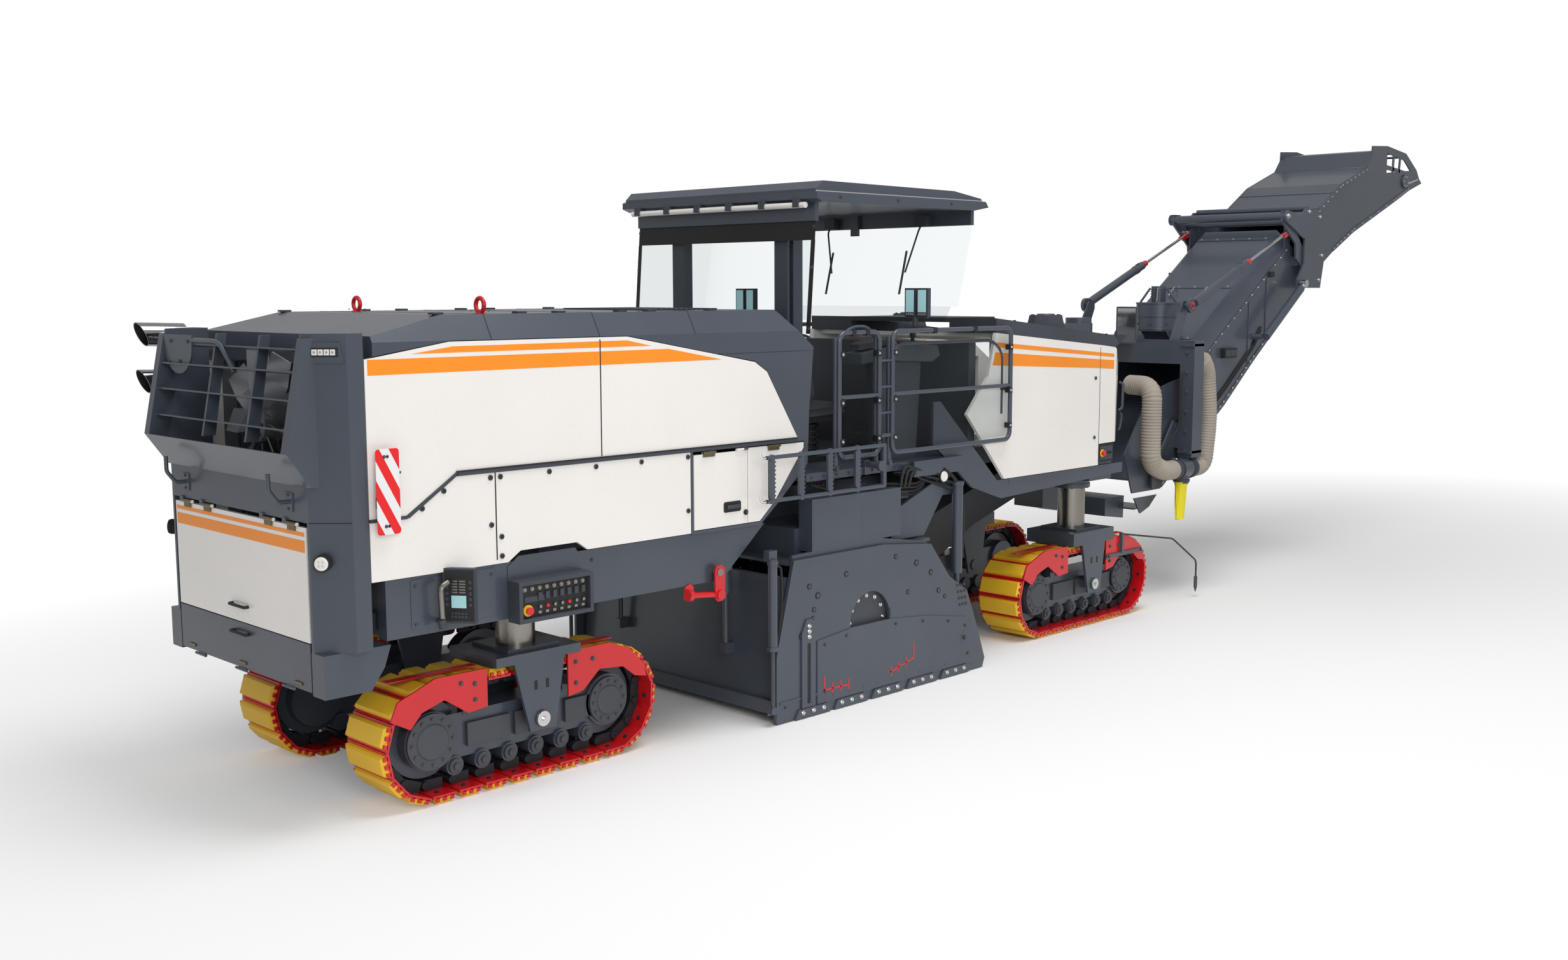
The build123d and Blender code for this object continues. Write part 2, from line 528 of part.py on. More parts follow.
save(front_hood_cover, "front_hood_cover")

# Canopy: roof, posts and glazing; it sinks between hood and front hood for transport
with BuildPart() as canopy_frame:
    slab([(-3830, 3868), (-3770, 3925), (-2250, 3915), (-1900, 3868), (-1880, 3845), (-3830, 3845)], -1085, 1085)
    slab([(-3850, 3795), (-3850, 3845), (-1860, 3845), (-1820, 3800), (-2000, 3770), (-3780, 3770)], -1103, 1103)
    slab([(-3780, 3760), (-3780, 3780), (-1990, 3780), (-1990, 3760)], -1000, 1000, mode=Mode.SUBTRACT)
    for side, _ in SIDES:
        box(POST_X - POST_HALF, POST_X + POST_HALF, side * POST_Y - POST_HALF, side * POST_Y + POST_HALF,
            POST_LOW, 3810)
    box(-3770, -3730, -1003, 1003, 3640, 3810)
    box(-1925, -1885, -1003, 1003, 3660, 3810)
    profile_x = POST_X - POST_HALF - POST_GAP - SLEEVE_WALL - 6
    for side, _ in SIDES:
        box(profile_x - 22, profile_x, side * (POST_Y - 110), side * (POST_Y + 30), 2700, 3780)
        box(profile_x - 1, POST_X - POST_HALF + 1, side * (POST_Y - 40), side * (POST_Y + 20),
            SLEEVE_TOP + CANOPY_TRAVEL + 20, 3780)
    box(-1960, -1930, 210, 290, 3600, 3780)
save(canopy_frame, "canopy_frame")
with BuildPart() as canopy_glass:
    slab([(-3817, 2815), (-3811, 2815), (-3747, 3640 - SEAT), (-3753, 3640 - SEAT)], -1003, 1003)
    slab([(-2083, 3000), (-2077, 3000), (-1902, 3660 - SEAT), (-1908, 3660 - SEAT)], -1003, 1003)
    slab([(-2165, 2874), (-2159, 2874), (-2077, 3000), (-2083, 3000)], -930, 930)
save(canopy_glass, "canopy_glass")

# Drum housing: two fixed walls, a roof and the carrier boxes above it
housing_wall = [
    (-4160, 60), (-4160, 1220), (-3200, 1240), (-2640, 1150), (-2390, 830), (-2320, 700), (-2280, 200), (-2320, 60),
]
LIFT_ROD_X = -2190
LIFT_ROD_Y = 1110
ROD_RADIUS = 22
ROD_RUN = 0.8             # running gap of a rod in its barrel
with BuildPart() as drum_housing:
    for side, _ in SIDES:
        slab(housing_wall, side * (HOUSING_HALF - WALL), side * HOUSING_HALF)
        bar((DRUM_X, side * (HOUSING_HALF - 60), DRUM_Z), (DRUM_X, side * (HOUSING_HALF + 30), DRUM_Z), DRUM_BORE,
            mode=Mode.SUBTRACT)
        slab([(-3950, 1220), (-2950, 1240), (-2950, 1610), (-3950, 1610)], side * 1014, side * HOUSING_HALF)
    box(-4160, -2560, -HOUSING_HALF + WALL, HOUSING_HALF - WALL, 1140, 1165)
    box(-4000, -2600, -1014, 1014, 1165, 1385 - SEAT)
    for side, _ in SIDES:
        bar((LIFT_ROD_X, side * LIFT_ROD_Y, 830), (LIFT_ROD_X, side * LIFT_ROD_Y, 1560), 45)
        slab([(-2960, 1180), (-2560, 1180), (-2330, 1480), (-2140, 1480), (-2140, 1570), (-2400, 1610), (-2960, 1400)],
             side * 1040, side * 1064)
        bar((LIFT_ROD_X, side * 1060, 1520), (LIFT_ROD_X, side * LIFT_ROD_Y, 1520), 30)
        bar((LIFT_ROD_X, side * LIFT_ROD_Y, 820), (LIFT_ROD_X, side * LIFT_ROD_Y, 1490), ROD_RADIUS + ROD_RUN,
            mode=Mode.SUBTRACT)
save(drum_housing, "drum_housing")

# Milling drum with its helix of cutting bits
BIT_ROWS = 16
BITS_PER_ROW = 5
with BuildPart() as milling_drum:
    bar((DRUM_X, -DRUM_HALF, DRUM_Z), (DRUM_X, DRUM_HALF, DRUM_Z), DRUM_RADIUS)
    bar((DRUM_X, -HOUSING_HALF + 5, DRUM_Z), (DRUM_X, HOUSING_HALF - 5, DRUM_Z), DRUM_BORE - DRUM_RUN)
    for row in range(BIT_ROWS):
        bit_y = -DRUM_HALF + 60 + row * (2 * DRUM_HALF - 120) / (BIT_ROWS - 1)
        for place in range(BITS_PER_ROW):
            turn = place * 360 / BITS_PER_ROW + row * 24
            bit_plane = Plane(Location((DRUM_X, bit_y, DRUM_Z), (0, turn, 0)))
            with BuildSketch(bit_plane.offset(DRUM_RADIUS - 10)) as bit_foot:
                Rectangle(90, 60)
            extrude(bit_foot.sketch, amount=BIT_REACH, taper=12)
save(milling_drum, "milling_drum")

# Side plates that float up and down beside the drum, with the rods of their lift cylinders
plate_outline = [
    (-4360, GROUND_GAP), (-1930, GROUND_GAP), (-1900, 80), (-2030, 420), (-2150, 690), (-2380, 835),
    (-2620, 1130), (-3180, 1190), (-4180, 1190), (-4360, 500),
]
SKIDS = (-3990, -3570, -3150, -2730, -2310)
PLATE_OUTER = HOUSING_HALF + PLATE_GAP + SIDE_PLATE
for side, name in SIDES:
    with BuildPart() as plate:
        slab(plate_outline, side * (HOUSING_HALF + PLATE_GAP), side * PLATE_OUTER)
        bar((DRUM_X, side * HOUSING_HALF, DRUM_Z), (DRUM_X, side * (PLATE_OUTER + 5), DRUM_Z), 228, mode=Mode.SUBTRACT)
        for skid_x in SKIDS:
            slab([(skid_x - 190, GROUND_GAP), (skid_x + 190, GROUND_GAP), (skid_x + 150, 75), (skid_x - 150, 75)],
                 side * PLATE_OUTER, side * (PLATE_OUTER + 16))
        bar((LIFT_ROD_X, side * LIFT_ROD_Y, 300), (LIFT_ROD_X, side * LIFT_ROD_Y, 1150), ROD_RADIUS)
        bar((LIFT_ROD_X, side * 1080, 300), (LIFT_ROD_X, side * PLATE_OUTER, 300), 32)
    save(plate, f"side_plate_{name}")

# Rear scraper blade behind the drum
with BuildPart() as scraper:
    slab([(-4300, 60), (-4255, 60), (-4185, 1060), (-4230, 1060)], -1140, 1140)
    box(-4330, -4290, -1140, 1140, 60, 160)
    for side, _ in SIDES:
        box(SCRAPER_ROD_X - 30, -4250, side * (SCRAPER_ROD_Y - 30), side * (SCRAPER_ROD_Y + 30), 440, 520)
        bar((SCRAPER_ROD_X, side * SCRAPER_ROD_Y, 480), (SCRAPER_ROD_X, side * SCRAPER_ROD_Y, 1100), SCRAPER_ROD)
save(scraper, "scraper")

# Legs: a bright column in each guide tube, and a track unit that steers about it
LEGS = ((FRONT_LEG_X, 930, 1960, "front"), (REAR_LEG_X, 870, 1750, "rear"))
SPIGOT = 60
for leg_x, block_top, column_top, end in LEGS:
    for side, name in SIDES:
        with BuildPart() as leg:
            bar((leg_x, side * TRACK_Y, block_top - SPIGOT), (leg_x, side * TRACK_Y, column_top), COLUMN_RADIUS)
        save(leg, f"leg_{end}_{name}")

# Track units: block and yoke over the track, roller frame, hubs, shoes and end guards
TRACK_OFFSET = 60         # the track's middle lies this far behind the column
YOKE_HALF = 262           # outer face of the yoke's two cheeks
YOKE_CHEEK = 25
YOKE_LOW = 330
FRAME_HALF = 120
PIN_Z = 405
AXLE_Z = TRACK_HEIGHT / 2
LOOP_RADIUS = TRACK_HEIGHT / 2
HALF_RUN = TRACK_LENGTH / 2 - LOOP_RADIUS
HUB_RADIUS = 185
IDLER_RADIUS = 175
HUB_HALF = 150
WHEEL_GAP = 6             # running gap between the end wheels and the chain
WHEEL_RADIUS = LOOP_RADIUS - SHOE_HEIGHT - CHAIN_HEIGHT - WHEEL_GAP
ROLLER_RADIUS = 62
ROLLER_COUNT = 6
ROLLER_STEP = 205
GUARD_THICK = 12
GUARD_HALF = SHOE_WIDTH / 2 + 6
rear_guard = [(-1010, 590), (-960, 700), (-700, 800), (-330, 800), (-330, 560), (-470, 545), (-640, 660), (-800, 610), (-880, 520)]
front_guard = [(300, 800), (640, 800), (800, 740), (930, 620), (960, 520), (860, 540), (760, 620), (560, 640), (420, 520), (300, 500)]
for leg_x, block_top, column_top, end in LEGS:
    track_x = leg_x - TRACK_OFFSET
    yoke = [
        (leg_x - 200, block_top - 60), (leg_x + 200, block_top - 60), (leg_x + 120, YOKE_LOW), (leg_x - 80, YOKE_LOW),
    ]
    for side, name in SIDES:
        y = side * TRACK_Y
        with BuildPart() as unit:
            box(leg_x - 330, leg_x + 330, y - YOKE_HALF, y + YOKE_HALF, TRACK_HEIGHT + 12, block_top - 20)
            box(leg_x - 200, leg_x + 200, y - 200, y + 200, block_top - 20, block_top)
            for cheek in (-YOKE_HALF, YOKE_HALF - YOKE_CHEEK):
                slab(yoke, y + cheek, y + cheek + YOKE_CHEEK)
            bar((leg_x + 10, y - YOKE_HALF - 12, PIN_Z), (leg_x + 10, y + YOKE_HALF + 12, PIN_Z), 55)
            slab([(track_x - HALF_RUN, 520), (track_x + HALF_RUN, 520), (track_x + HALF_RUN, 290), (track_x + 560, 235),
                  (track_x - 560, 235), (track_x - HALF_RUN, 290)], y - FRAME_HALF, y + FRAME_HALF)
            bar((track_x - HALF_RUN, y - HUB_HALF, AXLE_Z), (track_x - HALF_RUN, y + HUB_HALF, AXLE_Z), HUB_RADIUS)
            bar((track_x + HALF_RUN, y - HUB_HALF, AXLE_Z), (track_x + HALF_RUN, y + HUB_HALF, AXLE_Z), IDLER_RADIUS)
            for wheel_x in (track_x - HALF_RUN, track_x + HALF_RUN):
                bar((wheel_x, y - 60, AXLE_Z), (wheel_x, y + 60, AXLE_Z), WHEEL_RADIUS)
            roller_z = SHOE_HEIGHT + CHAIN_HEIGHT + ROLLER_RADIUS + SEAT
            for roller in range(ROLLER_COUNT):
                roller_x = track_x + (roller - (ROLLER_COUNT - 1) / 2) * ROLLER_STEP
                bar((roller_x, y - 140, roller_z), (roller_x, y + 140, roller_z), ROLLER_RADIUS)
            for outline in (rear_guard, front_guard):
                placed = [(track_x + x, z) for x, z in outline]
                slab(placed, side * (TRACK_Y + GUARD_HALF), side * (TRACK_Y + GUARD_HALF + GUARD_THICK))
            for arm_x in (track_x - 400, track_x + 370):
                box(arm_x - 35, arm_x + 35, y + side * (FRAME_HALF - 5), side * (TRACK_Y + GUARD_HALF + 2), 560, 630)
                box(arm_x - 35, arm_x + 35, y + side * 60, y + side * (FRAME_HALF + 5), 500, 630)
            bar((leg_x, y, block_top - SPIGOT - 1), (leg_x, y, block_top + 5), COLUMN_RADIUS + COLUMN_GAP,
                mode=Mode.SUBTRACT)
        save(unit, f"track_frame_{end}_{name}")
        teeth = []
        for shoe in range(SHOE_COUNT):
            for share, inset in ((0, 0), (1 - SHOE_SPACE, 0), (1 - SHOE_SPACE, PAD_HEIGHT), (1, PAD_HEIGHT)):
                teeth.append(loop_point((shoe + share) / SHOE_COUNT, inset, (track_x, AXLE_Z), HALF_RUN, LOOP_RADIUS))
        with BuildPart() as belt:
            with BuildSketch(Plane.XZ.offset(-(y + SHOE_WIDTH / 2))) as ring:
                with BuildLine():
                    Polyline(*teeth, close=True)
                make_face()
                with Locations((track_x, LOOP_RADIUS)):
                    SlotCenterToCenter(2 * HALF_RUN, TRACK_HEIGHT - 2 * (SHOE_HEIGHT + CHAIN_HEIGHT), mode=Mode.SUBTRACT)
            extrude(ring.sketch, amount=SHOE_WIDTH)
        save(belt, f"track_belt_{end}_{name}")

# Primary conveyor: closed channel from the drum up to the transfer point
CHUTE_HALF = 215          # half width of the discharge end, which the hopper swings round
with BuildPart() as primary_conveyor:
    slab([(-2080, 480), (-950, 1010), (350, 1395), (350, CHUTE_TOP), (-250, CHUTE_TOP), (-2080, 1000)],
         -325, 325)
    slab([(345, 1405), (1100, 1405), (1100, 1470), (345, CHUTE_TOP)], -CHUTE_HALF, CHUTE_HALF)
    slab([(-2100, 500), (-950, 1035), (300, 1415), (1120, 1420), (1120, 1450), (-250, 1530), (-2100, 970)],
         -CHUTE_HALF + 20, CHUTE_HALF - 20, mode=Mode.SUBTRACT)
save(primary_conveyor, "primary_conveyor")

# Swivel frame: a gate with two posts that swings about the upright axis and carries the conveyor
GATE_X = (1950, 2140)
GATE_HALF = 860
GATE_Z = (1430, 2620)
HOSE_Y = -780
HOSE_RADIUS = 100
TEE_Z = 1320
TEE_X = (1760, 2060)
STEM_Z = 1170             # lower end of the tee's stem, where the bag hangs
with BuildPart() as swivel_frame:
    for side, _ in SIDES:
        box(*GATE_X, side * 700, side * GATE_HALF, *GATE_Z)
        slab([(1560, 1130), (1700, 1130), (2140, 1500), (2140, 1800), (1950, 1800), (1560, 1300)],
             side * 625, side * 650)
        box(*GATE_X, side * 650, side * 700, 1520, 1780)
        bar((LIFT_X, side * 580, LIFT_Z), (LIFT_X, side * 650, LIFT_Z), LIFT_PIN)
        slab([(1960, 2610), (2130, 2610), (2290, 2930), (2290, 3015), (2190, 3015), (2090, 2860)],
             side * 560, side * 578)
        bar((STAY_BASE[0], side * 578, STAY_BASE[1]), (STAY_BASE[0], side * (STAY_Y - STAY_EYE_HALF - SEAT), STAY_BASE[1]), 30)
    box(*GATE_X, -GATE_HALF, GATE_HALF, 2380, 2620)
    box(SLEW_X, GATE_X[1], -150, 150, 2580, SLEW_BOSS[0] - SEAT)
    bar((SLEW_X, 0, 2580), (SLEW_X, 0, SLEW_BOSS[0] - SEAT), 150)
    bar((SLEW_X, 0, 2600), (SLEW_X, 0, 2850), SLEW_PIN)
    bar((SLEW_X, 0, SLEW_BOSS[1] + SEAT), (SLEW_X, 0, 2855), 130)
    bar((TEE_X[0] + SEAT, HOSE_Y, TEE_Z), (TEE_X[1] - SEAT, HOSE_Y, TEE_Z), HOSE_RADIUS)
    bar((1905, HOSE_Y, TEE_Z), (1905, HOSE_Y, STEM_Z), 75)
    box(1960, 2030, HOSE_Y - 30, HOSE_Y + 30, 1390, 1445)
save(swivel_frame, "swivel_frame")

# Suction hoses: two bent hoses that meet in a tee below the gate's right post, and a dust bag
with BuildPart() as suction_hoses:
    bent_tube([(1400, -460, 2185), (1300, HOSE_Y, 2185), (1300, HOSE_Y, 1420), (1560, HOSE_Y, TEE_Z),
               (TEE_X[0], HOSE_Y, TEE_Z)], HOSE_RADIUS, 170)
    bent_tube([(TEE_X[1], HOSE_Y, TEE_Z), (2320, HOSE_Y, TEE_Z), (2400, HOSE_Y, 1800), (2330, HOSE_Y, 2300), (2215, HOSE_Y, 2430)],
              HOSE_RADIUS, 170)
save(suction_hoses, "suction_hoses")
with BuildPart() as dust_bag:
    slab([(1830, STEM_Z - SEAT), (1830, 830), (1850, 800), (1950, 790), (1975, STEM_Z - SEAT)], HOSE_Y - 30, HOSE_Y + 30)
save(dust_bag, "dust_bag")

# Loading conveyor, lower section: side walls, floor and a bevelled cover
lower_side = [
    (1800, 1105), (3029, 1881), (3635, 2332), (4851, 3170), (4870, 3400), (4400, 3650), (2487, 2392), (2200, 2240),
    (1553, 2110), (1110, 1500), (1270, 1105),
]
COVER_LOW = (2487, 2392)
COVER_HIGH = (4400, 3650)
COVER_SKIN = 14
hat_section = [
    (-BELT_HALF, 0), (-DECK_HALF, DECK_RISE), (DECK_HALF, DECK_RISE), (BELT_HALF, 0),
    (BELT_HALF - COVER_SKIN, 0), (DECK_HALF - 5, DECK_RISE - COVER_SKIN), (5 - DECK_HALF, DECK_RISE - COVER_SKIN),
    (COVER_SKIN - BELT_HALF, 0),
]
with BuildPart() as conveyor_lower:
    for side, _ in SIDES:
        slab(lower_side, side * (BELT_HALF - CONVEYOR_WALL), side * BELT_HALF)
        bar((LIFT_X, side * (BELT_HALF + 1), LIFT_Z), (LIFT_X, side * 570, LIFT_Z), LIFT_PIN + PIN_RUN,
            mode=Mode.SUBTRACT)
    with BuildSketch(Plane.YZ.offset(COVER_LOW[0])) as hat:
        with BuildLine():
            Polyline(*[(y, COVER_LOW[1] + rise) for y, rise in hat_section], close=True)
        make_face()
    slope = Vector(COVER_HIGH[0] - COVER_LOW[0], 0, COVER_HIGH[1] - COVER_LOW[1])
    extrude(hat.sketch, amount=slope.length, dir=slope)
    slab(strip([(1850, 1145), (3029, 1890), (3635, 2341), (4840, 3170)], 18),
         -BELT_HALF + CONVEYOR_WALL, BELT_HALF - CONVEYOR_WALL)
    for side, _ in SIDES:
        slab([(4300, 3590), (4430, 3660), (4430, 3830), (4300, 3830)], side * 584, side * 600)
        slab([(4420, 3480), (4700, 3300), (4760, 3400), (4200, 4000), (4060, 4000), (4060, 3880), (4400, 3640)],
             side * LUG_INNER, side * (LUG_INNER + LUG_THICK))
        box(4480, 4680, side * 600, side * LUG_INNER, 3400, 3500)
        bar((FOLD_CYLINDER_FOOT[0], side * 600, FOLD_CYLINDER_FOOT[1]),
            (FOLD_CYLINDER_FOOT[0], side * (FOLD_CYLINDER_Y - FOLD_BARREL - SEAT), FOLD_CYLINDER_FOOT[1]), 30)
        bar((STAY_HEAD[0], side * (BELT_HALF - 5), STAY_HEAD[1]),
            (STAY_HEAD[0], side * (STAY_Y - STAY_EYE_HALF - SEAT), STAY_HEAD[1]), 18)
        bar((FOLD_X, side * (LUG_INNER - 1), FOLD_Z), (FOLD_X, side * (LUG_INNER + LUG_THICK + 1), FOLD_Z),
            FOLD_PIN + PIN_RUN, mode=Mode.SUBTRACT)
save(conveyor_lower, "conveyor_lower")

# Dust extractor on the lower section's rear end
with BuildPart() as dust_extractor:
    bar((2410, -150, 2700), (2410, -150, 3000), 225)
    bar((2410, -150, 3000), (2410, -150, 3170), 75)
    slab([(2487, 2542.5), (2640, 2643.2), (2640, 2720), (2300, 2720)], -300, 0)
save(dust_extractor, "dust_extractor")

# Loading conveyor, head section: side walls, floor, cover, fold arms and the open guard at the tip
head_side = [
    (4966, 3980), (5650, 4371), (6335, 4603), (6888, 4560), (7560, 4620), (7784, 4600),
    (7949, 4480), (7558, 4368), (7181, 4225), (6006, 3804), (5505, 3574), (5116, 3364), (4966, 3300),
]
guard_side = [(6450, 4590), (6470, 4860), (6888, 4885), (7447, 4826), (7784, 4636), (7900, 4500), (7700, 4560), (7400, 4740),
              (6888, 4800), (6550, 4790), (6530, 4590)]
fold_arm = [
    (4050, 3900), (4160, 4000), (4462, 3960), (4560, 4040), (4825, 4030), (4990, 3960), (5060, 3900), (5060, 3500),
    (4980, 3150), (4420, 3150), (4420, 3250), (4560, 3420), (4560, 3700), (4160, 3860),
]
with BuildPart() as conveyor_head:
    for side, _ in SIDES:
        slab(head_side, side * (BELT_HALF - CONVEYOR_WALL), side * BELT_HALF)
        slab(guard_side, side * (BELT_HALF - CONVEYOR_WALL), side * BELT_HALF)
        slab(fold_arm, side * ARM_INNER, side * (ARM_INNER + ARM_THICK))
        box(4970, 5060, side * BELT_HALF, side * ARM_INNER, 3500, 3900)
        bar((FOLD_CYLINDER_EYE[0], side * ARM_INNER, FOLD_CYLINDER_EYE[1]),
            (FOLD_CYLINDER_EYE[0], side * (FOLD_CYLINDER_Y - FOLD_EYE_HALF - SEAT), FOLD_CYLINDER_EYE[1]), 28)
    slab(strip([(4966, 3300), (5116, 3364), (5505, 3574), (6006, 3804), (7181, 4225)], 18),
         -BELT_HALF + CONVEYOR_WALL, BELT_HALF - CONVEYOR_WALL)
    slab(strip([(4966, 3960), (5650, 4351), (6335, 4583)], 18), -BELT_HALF + CONVEYOR_WALL, BELT_HALF - CONVEYOR_WALL)
    bar((FOLD_X, -(ARM_INNER + ARM_THICK), FOLD_Z), (FOLD_X, ARM_INNER + ARM_THICK, FOLD_Z), FOLD_PIN)
    for tube_x, tube_z in CROSS_TUBES:
        bar((tube_x, -(ARM_INNER + 5), tube_z), (tube_x, ARM_INNER + 5, tube_z), 34)
save(conveyor_head, "conveyor_head")

# Stays that hold the conveyor up: a cylinder barrel below and a rod above
STAY_SPLIT = 0.53         # share of the stay that is barrel
stay_end = along(STAY_BASE, STAY_HEAD, STAY_SPLIT)
rod_start = along(STAY_BASE, STAY_HEAD, STAY_SPLIT * 0.25)
with BuildPart() as stay_barrels:
    for side, _ in SIDES:
        foot = along(STAY_BASE, STAY_HEAD, 0.03)
        mouth = (stay_end[0], side * STAY_Y, stay_end[1])
        bar((foot[0], side * STAY_Y, foot[1]), mouth, STAY_RADIUS)
        bar((STAY_BASE[0], side * (STAY_Y - STAY_EYE_HALF), STAY_BASE[1]),
            (STAY_BASE[0], side * (STAY_Y + STAY_EYE_HALF), STAY_BASE[1]), 70)
        inner = along(STAY_BASE, STAY_HEAD, 0.04)
        bar((inner[0], side * STAY_Y, inner[1]), (mouth[0] + 10, side * STAY_Y, mouth[2] + 4), STAY_ROD + 1, mode=Mode.SUBTRACT)
save(stay_barrels, "stay_barrels")
with BuildPart() as stay_rods:
    for side, _ in SIDES:
        bar((rod_start[0], side * STAY_Y, rod_start[1]), (STAY_HEAD[0], side * STAY_Y, STAY_HEAD[1]), STAY_ROD)
        bar((STAY_HEAD[0], side * (STAY_Y - STAY_EYE_HALF), STAY_HEAD[1]),
            (STAY_HEAD[0], side * (STAY_Y + STAY_EYE_HALF), STAY_HEAD[1]), 32)
save(stay_rods, "stay_rods")

# Fold cylinders: barrel, first stage and rod
FOLD_STAGE = 33
FOLD_ROD = 22
with BuildPart() as fold_barrels:
    for side, _ in SIDES:
        foot = (FOLD_CYLINDER_FOOT[0], side * FOLD_CYLINDER_Y, FOLD_CYLINDER_FOOT[1])
        mouth = along(FOLD_CYLINDER_FOOT, FOLD_CYLINDER_EYE, 0.9)
        bore = along(FOLD_CYLINDER_FOOT, FOLD_CYLINDER_EYE, 0.06)
        past = along(FOLD_CYLINDER_FOOT, FOLD_CYLINDER_EYE, 0.95)
        bar(foot, (mouth[0], side * FOLD_CYLINDER_Y, mouth[1]), FOLD_BARREL)
        bar((bore[0], side * FOLD_CYLINDER_Y, bore[1]), (past[0], side * FOLD_CYLINDER_Y, past[1]), FOLD_STAGE + 1,
            mode=Mode.SUBTRACT)
save(fold_barrels, "fold_barrels")
with BuildPart() as fold_stages:
    for side, _ in SIDES:
        low = along(FOLD_CYLINDER_FOOT, FOLD_CYLINDER_EYE, 0.08)
        high = along(FOLD_CYLINDER_FOOT, FOLD_CYLINDER_EYE, 0.91)
        bore = along(FOLD_CYLINDER_FOOT, FOLD_CYLINDER_EYE, 0.10)
        past = along(FOLD_CYLINDER_FOOT, FOLD_CYLINDER_EYE, 0.95)
        bar((low[0], side * FOLD_CYLINDER_Y, low[1]), (high[0], side * FOLD_CYLINDER_Y, high[1]), FOLD_STAGE)
        bar((bore[0], side * FOLD_CYLINDER_Y, bore[1]), (past[0], side * FOLD_CYLINDER_Y, past[1]), FOLD_ROD + 1,
            mode=Mode.SUBTRACT)
save(fold_stages, "fold_stages")
with BuildPart() as fold_rods:
    for side, _ in SIDES:
        low = along(FOLD_CYLINDER_FOOT, FOLD_CYLINDER_EYE, 0.12)
        bar((low[0], side * FOLD_CYLINDER_Y, low[1]), (FOLD_CYLINDER_EYE[0], side * FOLD_CYLINDER_Y, FOLD_CYLINDER_EYE[1]),
            FOLD_ROD)
        bar((FOLD_CYLINDER_EYE[0], side * (FOLD_CYLINDER_Y - FOLD_EYE_HALF), FOLD_CYLINDER_EYE[1]),
            (FOLD_CYLINDER_EYE[0], side * (FOLD_CYLINDER_Y + FOLD_EYE_HALF), FOLD_CYLINDER_EYE[1]), 42)
save(fold_rods, "fold_rods")
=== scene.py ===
# %% [markdown]
# # Dressing a cold planer
#
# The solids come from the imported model, with one body for each moving part. This lesson gives
# each of them a finish, adds the small pieces that a maker would bolt on, and lights the lot
# in a pale studio. Lengths are in metres: +X is forward, +Y is the machine's left, +Z is up.

import math

import bmesh
import bpy
from mathutils import Matrix, Vector


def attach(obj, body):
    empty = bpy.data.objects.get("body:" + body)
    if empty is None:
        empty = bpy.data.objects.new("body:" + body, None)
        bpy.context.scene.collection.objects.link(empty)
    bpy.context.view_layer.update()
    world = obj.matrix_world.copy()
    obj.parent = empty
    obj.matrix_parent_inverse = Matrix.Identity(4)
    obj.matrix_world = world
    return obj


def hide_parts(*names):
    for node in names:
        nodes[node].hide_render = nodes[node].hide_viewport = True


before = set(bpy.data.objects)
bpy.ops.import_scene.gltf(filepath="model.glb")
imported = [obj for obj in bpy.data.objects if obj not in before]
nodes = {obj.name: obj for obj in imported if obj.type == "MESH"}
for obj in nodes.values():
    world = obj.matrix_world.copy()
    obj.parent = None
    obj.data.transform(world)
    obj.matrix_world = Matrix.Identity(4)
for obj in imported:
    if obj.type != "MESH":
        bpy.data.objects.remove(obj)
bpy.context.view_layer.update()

# %% [markdown]
# ## The camera
#
# The photograph was taken from behind the machine's right rear corner, a little above eye
# height. A camera could be aimed by hand, but this one was worked out from the machine's own
# edges in the photograph, so its heading and tilt are written as numbers.

# %% Camera
CAMERA_AT = Vector((-11.95, -8.79, 3.135))
HEADING, TILT, ROLL = math.radians(44.75), math.radians(7.1), math.radians(-0.1)
LENS, SENSOR, FAR = 35.0, 36.0, 200
ahead = Vector((math.cos(HEADING) * math.cos(TILT), math.sin(HEADING) * math.cos(TILT), -math.sin(TILT)))
right = Vector((math.sin(HEADING), -math.cos(HEADING), 0))
up = right.cross(ahead)
camera = bpy.data.objects.new("camera", bpy.data.cameras.new("camera"))
bpy.context.collection.objects.link(camera)
aim = Matrix((right, up, -ahead)).transposed().to_4x4() @ Matrix.Rotation(ROLL, 4, "Z")
camera.matrix_world = Matrix.Translation(CAMERA_AT) @ aim
camera.data.lens = LENS
camera.data.sensor_width = SENSOR
camera.data.clip_end = FAR
bpy.context.scene.camera = camera
bpy.context.scene.view_settings.view_transform = "Standard"
print("camera", round((CAMERA_AT - Vector((0, 0, 2))).length, 2), "m from the middle")

# %% [markdown]
# ## Paints and metals
#
# Fresh machine paint is never one flat colour: the spray leaves a fine orange peel, the gloss
# wanders a little, and dust settles low down. One helper varies the tint, gloss and peel with noise in
# object space, so the grain keeps its size on a large panel and on a small lug; it adds no dust.


# %% Shader nodes
def add_node(tree, kind, inputs=None, operation=None):
    """A shader node with its settings."""
    node = tree.nodes.new("ShaderNode" + kind)
    if operation:
        node.operation = operation
    for socket, value in (inputs or {}).items():
        node.inputs[socket].default_value = value
    return node


def wire(tree, *links):
    """Joins nodes; a link is a node, its output, the next node and its input."""
    for start, output, end, socket in links:
        tree.links.new(start.outputs[output], end.inputs[socket])


def new_material(name, inputs):
    """A material with its node tree and its main shader."""
    material = bpy.data.materials.new(name)
    material.use_nodes = True
    shader = material.node_tree.nodes["Principled BSDF"]
    for socket, value in inputs.items():
        shader.inputs[socket].default_value = value
    return material, material.node_tree, shader


print("node helpers")

# %% A painted or moulded finish
BROAD_NOISE, COAT_ROUGHNESS, RELIEF = 1.3, 0.12, 0.002


